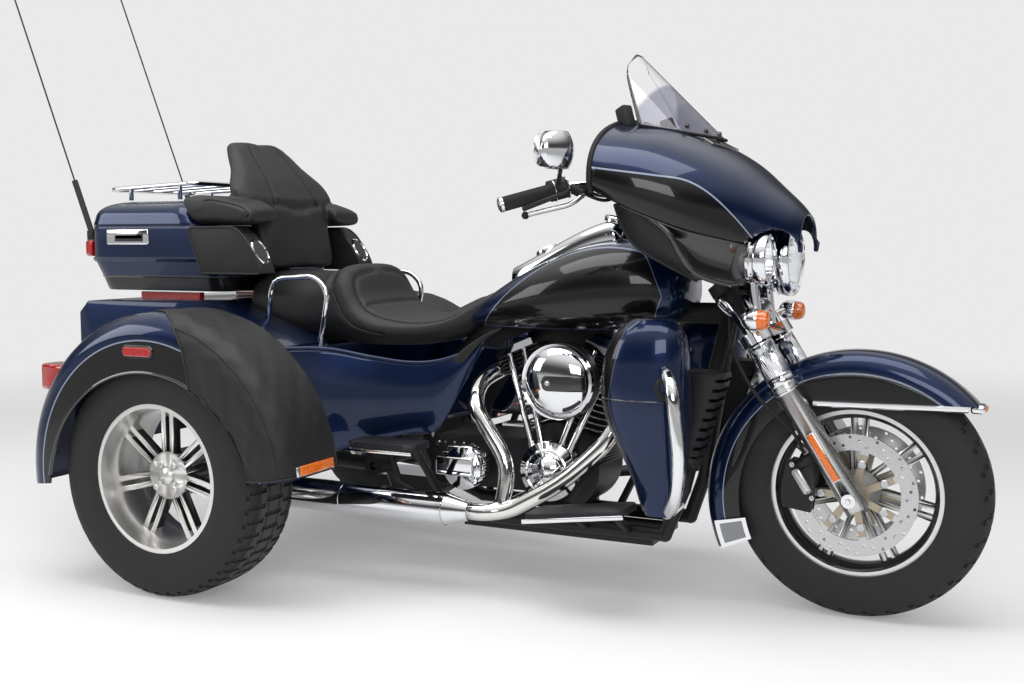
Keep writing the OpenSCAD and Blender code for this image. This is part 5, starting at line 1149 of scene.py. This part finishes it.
def seam(bm, points, deep, wide, welt=0.0, welts=None):
    """A sewn line: the cover sinks by deep beside points laid on it, with a welt along the bottom."""
    tree = BVHTree.FromBMesh(bm)
    laid = [tree.find_nearest(Vector(p))[:2] for p in points]
    line = KDTree(len(laid))
    for i, (at, _) in enumerate(laid):
        line.insert(at, i)
    line.balance()
    for v in bm.verts:
        away = line.find(v.co)[2] / wide
        if away < 2.2:
            v.co -= v.normal * deep * math.exp(-away * away)
    if welt:
        tube(welts, [at - normal * (deep - welt * 0.5) for at, normal in laid], welt, 0.0, 0, 6)


def along(points, steps=12):
    table = [tuple(p) for p in points]
    return [Vector(row(table, i / (steps * (len(table) - 1)))) for i in range(steps * (len(table) - 1) + 1)]


def seat_point(u, v):
    place, half, top, low = row(seat_rows, v)
    half, high = half * seat_half - 0.004, seat_z + top * seat_h - 0.004
    return ring_point(seat_x + place * seat_l, seat_z + low * seat_h + 0.001, high, half, 0.5, 3.0, u)


seat_leather, welt_leather = leather("seat_leather"), leather("welt_leather", (0.012, 0.012, 0.013))
seat_bm = bmesh.new()
skin(seat_bm, 48, 60, seat_point)
closed(seat_bm)
seat_bm = swell("seat", seat_bm)
for v in seat_bm.verts:
    v.co.z = max(v.co.z, seat_z + 0.0005)
    dish = math.exp(-((v.co.x + 0.05) / 0.13) ** 2 - (v.co.y / 0.13) ** 2)
    v.co.z -= 0.01 * dish * (v.normal.z > 0.5)
seat_welts = bmesh.new()
for side in (-1, 1):
    seam(seat_bm, along([(-0.305, side * 0.15, 0.86), (-0.29, side * 0.205, 0.79), (-0.24, side * 0.214, 0.71),
                         (-0.12, side * 0.205, 0.665)]), 0.004, 0.008, 0.003, seat_welts)
    seam(seat_bm, along([(-0.235, side * 0.03, 0.865), (-0.225, side * 0.135, 0.845), (-0.2, side * 0.165, 0.78),
                         (-0.16, side * 0.165, 0.745), (-0.05, side * 0.15, 0.735), (0.06, side * 0.09, 0.745)]),
         0.005, 0.008, 0.0022, seat_welts)
seam(seat_bm, along([(-0.185, -0.15, 0.765), (-0.185, 0.0, 0.765), (-0.185, 0.15, 0.765)]), 0.006, 0.008)
seam(seat_bm, along([(-0.31, -0.19, 0.85), (-0.315, 0.0, 0.86), (-0.31, 0.19, 0.85)]), 0.008, 0.012, 0.003,
     seat_welts)
piece("seat_upholstered", seat_bm, [seat_leather], "chassis", "seat", levels=1)
piece("seat_welts", seat_welts, [welt_leather], "chassis", None)

# Rear body: a moulded navy tub over the axle between the fenders, with a trunk door in its tail.
# Side covers in the same paint run forward under the seat to the engine. The tub's frame solid is
# open along its rear crest, where the trunk comes through, and that slot is closed here.
crest = Vector((-1.0, 0.0, 1.0)).normalized()
crest_x, crest_low, crest_high, crest_half, crest_wall = -0.965, 0.745, 0.768, 0.43, 0.006


def softened(bm, offset, angle=24.0, segments=3):
    sharp = [e for e in bm.edges if e.is_manifold and e.calc_face_angle(0.0) > math.radians(angle)]
    bmesh.ops.bevel(bm, geom=sharp, offset=offset, affect="EDGES", segments=segments, profile=0.5, material=-1,
                    offset_type="OFFSET", clamp_overlap=True)
    return bm


def at_crest(v):
    return v.co.x < crest_x and crest_low < v.co.z < crest_high and abs(v.co.y) < crest_half


tub_bm = cad_copy("rear_body")
slot = {v for v in tub_bm.verts if at_crest(v)}
rim = [e for e in tub_bm.edges if all(v in slot for v in e.verts) and e.calc_face_angle(0.0) > 0.1]
bmesh.ops.split_edges(tub_bm, edges=rim)
bmesh.ops.holes_fill(tub_bm, edges=[e for e in tub_bm.edges if e.is_boundary], sides=0)
inside = {v for f in tub_bm.faces for v in f.verts if abs(f.normal.dot(crest)) < 0.9 and at_crest(v)}
bmesh.ops.translate(tub_bm, verts=list(inside), vec=crest * -crest_wall)
outward(tub_bm)
piece("rear_body_painted", softened(tub_bm, 0.008), [navy], "chassis", "rear_body", 30.0)
# Along a side cover: place, out from the middle, top, bottom
cover_rows = ((0, 1, .94, 0), (.17, .79, .925, .05), (.38, .66, .855, .14), (.585, .58, .81, .21),
              (.75, .52, .825, .26), (.9, .468, .9, .65), (1, .43, 1, .94))
cover_bm = bmesh.new()
for side in (-1, 1):
    def cover_point(u, v, side=side):
        place, out, top, low = row(cover_rows, v)
        return Vector((-0.285 + place * 0.484, side * (out * 0.4307 + 0.014 * math.sin(math.pi * u)),
                       0.345 + 0.331 * (low + (top - low) * u)))
    skin(cover_bm, 20, 40, cover_point)
    tube(cover_bm, [cover_point(1.0, i / 30) for i in range(31)], 0.005, 0.0, 0, 8)
faced(cover_bm, lambda at: Vector((0, at.y, 0)))
piece("side_covers_painted", cover_bm, [navy], "chassis", "side_covers", 50.0, 0.008)

strut_bm = bmesh.new()
# Down a strut cover: x, z, half width
strut_line = ((.248, .708, .016), (.157, .645, .03), (.04, .5, .036), (-.012, .406, .034), (.03, .318, .014))
for side in (-1, 1):
    def strut_point(u, v, side=side):
        x, z, half = row(strut_line, v)
        turn = math.tau * u
        return Vector((x + half * bow(math.cos(turn), 2.6), side * (0.206 + 0.009 * bow(math.sin(turn), 2.6)),
                       z + half * 0.35 * math.cos(turn)))
    skin(strut_bm, 20, 24, strut_point)
closed(strut_bm)
piece("strut_covers", strut_bm, [black_plastic], "chassis", None, 60.0)

# Trunk door: the tail panel of the rear body, hinged down its left edge, navy, with a black handle
# that has a chromed inset, and a chromed lock below it.
piece("trunk_door_painted", softened(cad_copy("trunk_door"), 0.006), [navy], "trunk_door", "trunk_door",
      30.0)
door_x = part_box("trunk_door")[0][0]
handle_bm = bmesh.new()
block(handle_bm, (door_x - 0.006, -0.09, 0.64), (door_x + 0.004, 0.09, 0.676), 0.006)
block(handle_bm, (door_x - 0.009, -0.07, 0.647), (door_x - 0.001, 0.07, 0.664), 0.004, 1)
turned(handle_bm, [(0.0, 0.0105), (0.009, 0.0095), (0.012, 0.006), (0.0125, 0.0)], (door_x, 0, 0.61), (-1, 0, 0), 32, 1)
piece("trunk_handle", handle_bm, [black_plastic, chrome], "trunk_door", None)

# Rear fenders: moulded shells over the rear tyres, navy with a black side panel under a fine
# stripe and a rolled lip. A red marker sits on each side and an amber strip at the front foot.
rear_hub = Vector((-0.53, 0, 0.322))
fender_reach, fender_out, fender_corner = 0.438, 0.695, 0.066
arch_stripe_r, lip_circle, lip_drop = 0.368, 0.345, 0.062
marker_x, marker_z, marker_reach, strip_turn = -0.546, 0.66, 0.036, 6.5


def arch_stripe(x, y, z):
    return (x - rear_hub.x).span(z - rear_hub.z) - arch_stripe_r


arch_paint = two_tone("rear_fender_paint", arch_stripe, 0.0016)
for word in ("right", "left"):
    piece("rear_fender_painted_" + word, cad_copy("rear_fender_" + word), [arch_paint], "chassis",
          "rear_fender_" + word, 32.0)


def lip_r(turn):
    sink = lip_drop * math.sin(turn)
    return math.sqrt(sink * sink + lip_circle ** 2 - lip_drop ** 2) - sink


def arch_point(degrees, r, y):
    turn = math.radians(degrees)
    return rear_hub + Vector((math.cos(turn) * r, y, math.sin(turn) * r))


marker_bm = bmesh.new()
for side in (-1, 1):
    lip = [arch_point(a, lip_r(math.radians(a)) + 0.002, side * (fender_out - 0.001)) for a in range(6, 185, 4)]
    tube(marker_bm, lip, 0.0045, 0.0, 0, 8)
    for profile, material in ((((0.0, 0.007), (0.009, 0.0065), (0.012, 0.004), (0.0125, -0.002)), 1),
                              (((0.012, 0.003), (0.016, 0.0035), (0.0175, 0.001), (0.0175, -0.003)), 0)):
        def stadium(u, v):
            r, out = profile[round(v * 3)]
            turn = math.tau * u
            return Vector((marker_x + r * math.cos(turn) + math.copysign(marker_reach, math.cos(turn)),
                           side * (fender_out + out), marker_z + r * math.sin(turn)))
        skin(marker_bm, 40, 3, stadium, material)
    made = block(marker_bm, (-0.004, -0.072, -0.013), (0.006, 0.072, 0.013), 0.004, 2)
    made += block(marker_bm, (-0.004, -0.086, -0.0125), (0.005, -0.074, 0.0125), 0.003, 3)
    put(marker_bm, made, Matrix.Translation(arch_point(strip_turn, fender_reach + 0.004, side * 0.556))
        @ Matrix.Rotation(math.radians(-strip_turn), 4, "Y"))
welded(marker_bm)
outward(marker_bm)
piece("fender_lips", marker_bm, [gloss_black, red_lens, amber_lens, chrome], "chassis", None)

# Fender covers: fitted sheets of black leather over the front half of each rear fender, sewn
# along the outer corner and hemmed.
vinyl = leather("fender_vinyl", (0.011, 0.011, 0.0118))
cover_gap, cover_thick = 0.0026, 0.0018


crown_end, corner_end, cover_foot, cover_inner = 0.46, 0.74, 4.8, 0.462


def bra_edge(s):
    return 97.0 - 27.0 * max(0.0, (s - 0.32) / 0.4) if s < 0.72 else 70.0 - 12.0 * (s - 0.72) / 0.28


def bra_point(s, v, side):
    degrees = cover_foot + (bra_edge(s) - cover_foot) * v
    top, outer, corner = fender_reach - fender_corner, fender_out - fender_corner, fender_corner + cover_gap
    if s < crown_end:
        r, y = fender_reach + cover_gap, cover_inner + (outer - cover_inner) * s / crown_end
    elif s < corner_end:
        turn = math.pi / 2 * (s - crown_end) / 0.28
        r, y = top + corner * math.cos(turn), outer + corner * math.sin(turn)
    else:
        foot = lip_r(math.radians(degrees)) - 0.004
        r, y = top + (foot - top) * (s - corner_end) / 0.26, fender_out + cover_gap
    sag = 0.0012 * math.sin(degrees * 0.55) * math.sin(s * 37.0) + 0.0009 * math.sin(degrees * 0.23 + s * 19.0)
    return arch_point(degrees, r + sag * (s < corner_end), side * (y + sag * (s >= crown_end)))


for word, side in (("right", -1), ("left", 1)):
    bra_bm = bmesh.new()
    skin(bra_bm, 44, 64, lambda s, v: bra_point(s, v, side))
    faced(bra_bm, lambda at: at - rear_hub - Vector((0, side * 0.5, 0)))
    cut = sum(f.calc_area() for f in bra_bm.faces)
    bra = piece("fender_cover_" + word, bra_bm, [vinyl], "chassis", None, 60.0, cover_thick)
    hem_bm = bmesh.new()
    for s, v in ((0.62, None), (None, 1.0), (1.0, None), (None, 0.0)):
        tube(hem_bm, [bra_point(i / 40 if s is None else s, i / 40 if v is None else v, side) for i in range(41)],
             0.0026, 0.0, 0, 6)
    hem = piece("fender_hem_" + word, hem_bm, [welt_leather], "chassis", None)

# Footboards, guard and leg shields: black boards with rubber treads on the frame, a chromed tube
# round the engine, and a moulded navy shield on each side of the guard with a radiator inside.
dress(black_plastic, "rider_footboards", "passenger_footboards")
dress(chrome, "engine_guard", "grab_rails")
radiator_bm, corner_cut = cad_copy("radiators"), 0.008
for v in radiator_bm.verts:
    if v.co.x > 0.85 and abs(v.co.y) < 0.12:
        v.co.x, v.co.y = v.co.x - corner_cut, math.copysign(abs(v.co.y) + corner_cut, v.co.y)
piece("radiators_cast", radiator_bm, [black_cast], "chassis", "radiators")
board_bm = bmesh.new()
for side in (-1, 1):
    tilt = Matrix.Translation((0.396, side * 0.305, 0.238)) @ Matrix.Rotation(math.radians(-8), 4, "Y")
    edge, rear_middle, rear_edge = side * 0.0605, side * 0.357, side * 0.4115
    for x in (0.02 + k * 0.038 for k in range(6)):
        put(board_bm, block(board_bm, (x, -0.048, 0.008), (x + 0.026, 0.048, 0.0145), 0.003), tilt)
    for x in (-0.084 + k * 0.046 for k in range(4)):
        block(board_bm, (x, rear_middle - 0.044, 0.404), (x + 0.034, rear_middle + 0.044, 0.41), 0.0026)
    put(board_bm, block(board_bm, (0.0, edge - 0.003, -0.006), (0.274, edge + 0.003, 0.005), 0.002, 1), tilt)
    block(board_bm, (-0.097, rear_edge - 0.002, 0.389), (0.102, rear_edge + 0.002, 0.397), 0.0015, 1)
piece("board_treads", board_bm, [black_rubber, chrome], "chassis", None)

shield_at, shield_long, shield_wide, shield_high, shield_round = Vector((0.7, 0.266, 0.268)), 0.108, 0.086, 0.486, 2.6
# Up the shield: place, shift ahead, half length, half width
shield_rows = ((0, .26, .34, .36), (.07, .26, .46, .46), (.2, .22, .6, .64), (.36, .08, .8, .84),
               (.52, -.06, .97, .98), (.68, -.1, 1, 1), (.82, -.07, .94, .95), (.93, 0, .76, .78), (1, .06, .44, .46))


def shield_point(u, v, side, out=0.0):
    place, ahead, long, wide = row(shield_rows, v)
    turn = math.tau * u
    reach_x = (long * shield_long + out) * bow(math.cos(turn), shield_round)
    reach_y = (wide * shield_wide + out) * bow(math.sin(turn), shield_round)
    return Vector((shield_at.x + ahead * shield_long + reach_x, side * (shield_at.y + reach_y),
                   shield_at.z + place * shield_high))


def shield_lining(x, y, z):
    return x - (0.617 + abs(z - 0.56) * 0.22)


shield_paint = two_tone("leg_shield_paint", shield_lining, 0.0)
shield_bm, rim_bm = bmesh.new(), bmesh.new()
for side in (-1, 1):
    skin(shield_bm, 48, 40, lambda u, v: shield_point(u, v, side))
    tube(rim_bm, [shield_point(0.02 + 0.46 * i / 40, 0.56, side, 0.0002) for i in range(41)], 0.0016, 0.0, 0, 6)
    tube(rim_bm, [shield_point(0.415, 0.05 + 0.9 * i / 30, side, 0.0002) for i in range(31)], 0.0016, 0.0, 0, 6)
    grommet = Vector((0.768, side * 0.345, 0.594))
    turned(rim_bm, [(0.018, -0.006), (0.027, -0.004), (0.031, 0.001), (0.027, 0.005), (0.018, 0.004)], grommet,
           (0.45, side * 0.9, 0.05), 32, 1)
closed(shield_bm)
piece("leg_shields_painted", shield_bm, [shield_paint], "chassis", "leg_shields", 60.0)
piece("leg_shield_seams", rim_bm, [gloss_black, black_rubber], "chassis", None)

# Top case: a moulded navy box on the rear body with a black foot, chromed latches, red lamps
# behind and padded speaker pods at its front corners.
case_low, case_high, case_half, case_corner = Vector((-1.125, 0, 0.796)), Vector((-0.605, 0, 0.986)), 0.285, 0.048
case_foot = 0.838


def foot_line(x, y, z):
    return z - case_foot


case_paint = two_tone("case_paint", foot_line, 0.0)


def box_point(u, low, high, half, corner):
    """A point round a rounded rectangle seen from above, u from 0 to 1."""
    wide, long = 2 * (half - corner), high - low - 2 * corner
    arc = math.pi / 2 * corner
    lengths = (long, arc, wide, arc, long, arc, wide, arc)
    at = u * sum(lengths)
    corners = ((high - corner, half - corner), (low + corner, half - corner), (low + corner, corner - half),
               (high - corner, corner - half))
    for k, part in enumerate(lengths):
        if at <= part + 1e-9:
            break
        at -= part
    cx, cy = corners[k // 2]
    if k % 2:
        cx, cy = corners[(k + 1) // 2 % 4]
        turn = math.pi / 2 * ((k + 1) // 2 + at / part)
        return cx + corner * math.cos(turn), cy + corner * math.sin(turn)
    ahead = math.pi / 2 * (k // 2) + math.pi
    turn = math.pi / 2 * (k // 2)
    return cx + corner * math.cos(turn + math.pi / 2) + at * math.cos(ahead), \
        cy + corner * math.sin(turn + math.pi / 2) + at * math.sin(ahead)


# Up the case: share of its height, inset
tub_levels = ((0, .06), (0, .034), (.012, .028), (.2, .018), (.4, .006), (.5, 0), (.52, 0), (.97, 0), (.99, .003))


def tub_point(u, v):
    share, inset = row(tub_levels, v)
    x, y = box_point(u, case_low.x + inset, case_high.x - inset * 0.4, case_half - inset, case_corner)
    return Vector((x, y, case_low.z + share * (case_high.z - case_low.z)))


case_bm = bmesh.new()
skin(case_bm, 96, 24, tub_point)
welded(case_bm)
bmesh.ops.holes_fill(case_bm, edges=[e for e in case_bm.edges if e.is_boundary and e.verts[0].co.z < 0.85])
faced(case_bm, lambda at: at - Vector((-0.865, 0, 0.9)))
piece("top_case_painted", case_bm, [case_paint], "chassis", "top_case", 40.0, 0.006)

latch_bm = bmesh.new()
for side in (-1, 1):
    made = block(latch_bm, (-0.083, -0.005, -0.024), (0.083, 0.006, 0.024), 0.005, 0)
    made += block(latch_bm, (-0.05, -0.006, -0.016), (0.066, 0.0085, 0.012), 0.004, 1)
    made += block(latch_bm, (-0.046, -0.006, -0.008), (0.062, 0.0105, 0.008), 0.003, 0)
    put(latch_bm, made, Matrix.Translation((-0.96, side * case_half, 0.957)))
rub = (case_low.x + 0.018, case_high.x - 0.007, case_half - 0.018, case_corner)
tube(latch_bm, [(*box_point(u / 60, *rub), case_foot) for u in range(61)], 0.0035, 0.0, 1, 8)
piece("case_latches", latch_bm, [chrome, gloss_black], "chassis", None)

lid_front_low, lid_front_top, lid_top = -0.697, -0.747, 1.07
# Up the lid: share of its height, inset
lid_levels = ((0, 0), (.04, 0), (.06, .004), (.09, 0), (.3, .003), (.6, .009), (.82, .024), (.95, .05), (1, .09),
              (1, .16), (1, .24))


def lid_point(u, v):
    share, inset = row(lid_levels, v)
    front = lid_front_low + (lid_front_top - lid_front_low) * share
    x, y = box_point(u, case_low.x + inset, front - inset * 0.15, case_half - inset,
                     max(case_corner - inset * 0.1, 0.02))
    crown = 0.012 * (1 - (y / case_half) ** 2) * max(0.0, share - 0.6) / 0.4
    return Vector((x, y, case_high.z + 0.001 + share * (lid_top - case_high.z - 0.012) + crown))


lid_bm = bmesh.new()
skin(lid_bm, 96, 40, lid_point)
welded(lid_bm)
bmesh.ops.holes_fill(lid_bm, edges=[e for e in lid_bm.edges if e.is_boundary and e.verts[0].co.z > 1.03])
faced(lid_bm, lambda at: at - Vector((-0.9, 0, 1.0)))
piece("case_lid_painted", lid_bm, [navy], "case_lid", "case_lid", 40.0, 0.005)
dress(chrome, "luggage_rack")

# Backrest: a wrap-round pad on the front of the lid, foam under black leather, with a narrow
# headrest panel between side seams, a tucked fold at its foot and an arm on each side.
# Up the pad: place, lean back, half width
rest_rows = ((0, 0, .86), (.04, .01, .96), (.2, .03, .98), (.38, .07, 1.0), (.52, .17, 1.22), (.6, .28, 1.3),
             (.68, .4, 1.2), (.78, .58, .98), (.9, .81, .8), (.97, .94, .66), (1, 1, .5))


def rest_point(u, v):
    place, back, wide = row(rest_rows, v)
    turn = math.tau * u
    return Vector((-0.551 - back * 0.165 + 0.033 * bow(math.sin(turn), 3.2),
                   (wide * 0.19 - 0.004) * bow(math.cos(turn), 3.2), 0.858 + place * 0.385))


# Along an arm: place, bottom, top, out from the middle
wing_rows = ((0, .08, .96, .97), (.3, .07, 1, 1), (.6, .06, .87, 1), (.82, .06, .74, .99), (.95, .07, .62, .97),
             (1, .13, .5, .93))


def wing_point(u, v, side):
    place, low, top, out = row(wing_rows, v)
    low, top = 0.985 + low * 0.095 + 0.003, 0.985 + top * 0.095 - 0.003
    turn = math.tau * u
    back = -0.697 - 0.05 * max(0.0, (top - 0.986) / 0.084) * (place < 0.05)
    inner, outer = 0.155, 0.15 + out * 0.15 - 0.004
    return Vector((back + place * (-0.495 - back) - 0.002,
                   side * ((inner + outer) / 2 + (outer - inner) / 2 * bow(math.cos(turn), 4.0)),
                   (low + top) / 2 + (top - low) / 2 * bow(math.sin(turn), 4.0)))


rest_bm = bmesh.new()
skin(rest_bm, 48, 48, rest_point)
closed(rest_bm)
for side in (-1, 1):
    wing_bm = bmesh.new()
    skin(wing_bm, 36, 30, lambda u, v: wing_point(u, v, side))
    closed(wing_bm)
    part = bpy.data.meshes.new("wing")
    wing_bm.to_mesh(part)
    wing_bm.free()
    rest_bm.from_mesh(part)
    bpy.data.meshes.remove(part)
rest_bm = swell("backrest", rest_bm)
for v in rest_bm.verts:
    lean = lid_front_low + (lid_front_top - lid_front_low) * min(max((v.co.z - case_high.z) / 0.084, 0.0), 1.0)
    if v.co.z > case_high.z - 0.002:
        v.co.x = max(v.co.x, lean + 0.001) if v.co.z < lid_top + 0.004 else v.co.x
rest_welts = bmesh.new()
for side in (-1, 1):
    seam(rest_bm, along([(-0.66, side * 0.065, 1.243), (-0.63, side * 0.078, 1.21), (-0.59, side * 0.088, 1.15),
                         (-0.555, side * 0.1, 1.1), (-0.53, side * 0.11, 1.06)]), 0.004, 0.007, 0.0022, rest_welts)
    seam(rest_bm, along([(-0.515, side * 0.29, 1.01), (-0.505, side * 0.29, 1.03), (-0.53, side * 0.28, 1.05),
                         (-0.6, side * 0.285, 1.07), (-0.67, side * 0.288, 1.075)]), 0.003, 0.006, 0.003, rest_welts)
seam(rest_bm, along([(-0.53, -0.11, 1.06), (-0.528, -0.05, 1.052), (-0.528, 0.05, 1.052), (-0.53, 0.11, 1.06)]),
     0.008, 0.011)
seam(rest_bm, along([(-0.52, -0.035, 1.05), (-0.52, 0.0, 1.047), (-0.52, 0.035, 1.05)]), 0.006, 0.012)
piece("backrest_upholstered", rest_bm, [seat_leather], "case_lid", "backrest", levels=1)
piece("backrest_welts", rest_welts, [welt_leather], "case_lid", None)

# Speaker pods: textured black mouldings at the front corners of the case, with a welt round the
# outer face and an oval grille inside a bright ring on the front.
pod_x, pod_z, pod_long, pod_high = -0.605, 0.85, 0.151, 0.134
# Round a pod's outer face: place ahead, place up
pod_rows = ((-.46, 0), (1, 0), (.9, .3), (.74, .57), (.55, .84), (.34, 1), (-.77, 1))
pod_vinyl = leather("pod_vinyl", (0.011, 0.011, 0.0118))
piece("speaker_pods_covered", softened(cad_copy("speaker_pods"), 0.004, 30.0), [pod_vinyl], "chassis", "speaker_pods",
      40.0)
grille_bm = bmesh.new()
mesh_black = Finish("grille_cloth", Roughness=0.7)
holes_in = mesh_black.cells(420.0)
mesh_black.set(Base_Color=mesh_black.mix(holes_in.step(0.25, 0.45), (0.003, 0.003, 0.003), (0.04, 0.04, 0.042)))
mesh_black.bump(holes_in, 0.5, 0.001)
for side in (-1, 1):
    outline = [Vector((pod_x + s * pod_long, side * 0.2925, pod_z + t * pod_high)) for s, t in pod_rows]
    tube(grille_bm, outline + outline[:1], 0.0035, 0.02, 2, 8)
    centre = Vector((pod_x + 0.80 * pod_long, side * 0.2595, pod_z + 0.47 * pod_high))
    lean = Vector((0.55, 0, 0.32)).normalized()
    for profile, material in (([(0.036, 0.0), (0.039, 0.004), (0.042, 0.0)], 0),
                              ([(0.0, 0.003), (0.02, 0.0025), (0.037, 0.001)], 1)):
        made = turned(grille_bm, profile, centre, lean, 40, material)
        for v in {v for f in made for v in f.verts}:
            v.co.y = centre.y + (v.co.y - centre.y) * 0.72
outward(grille_bm)
piece("pod_grilles", grille_bm, [chrome, mesh_black, welt_leather], "chassis", None)

# Rear lamps and aerials: red lenses on the case, the body and the fenders, and two black whip
# aerials that lean back from their feet beside the case.
dress(red_lens, "rear_lamps")
dress(black_rubber, "aerials")
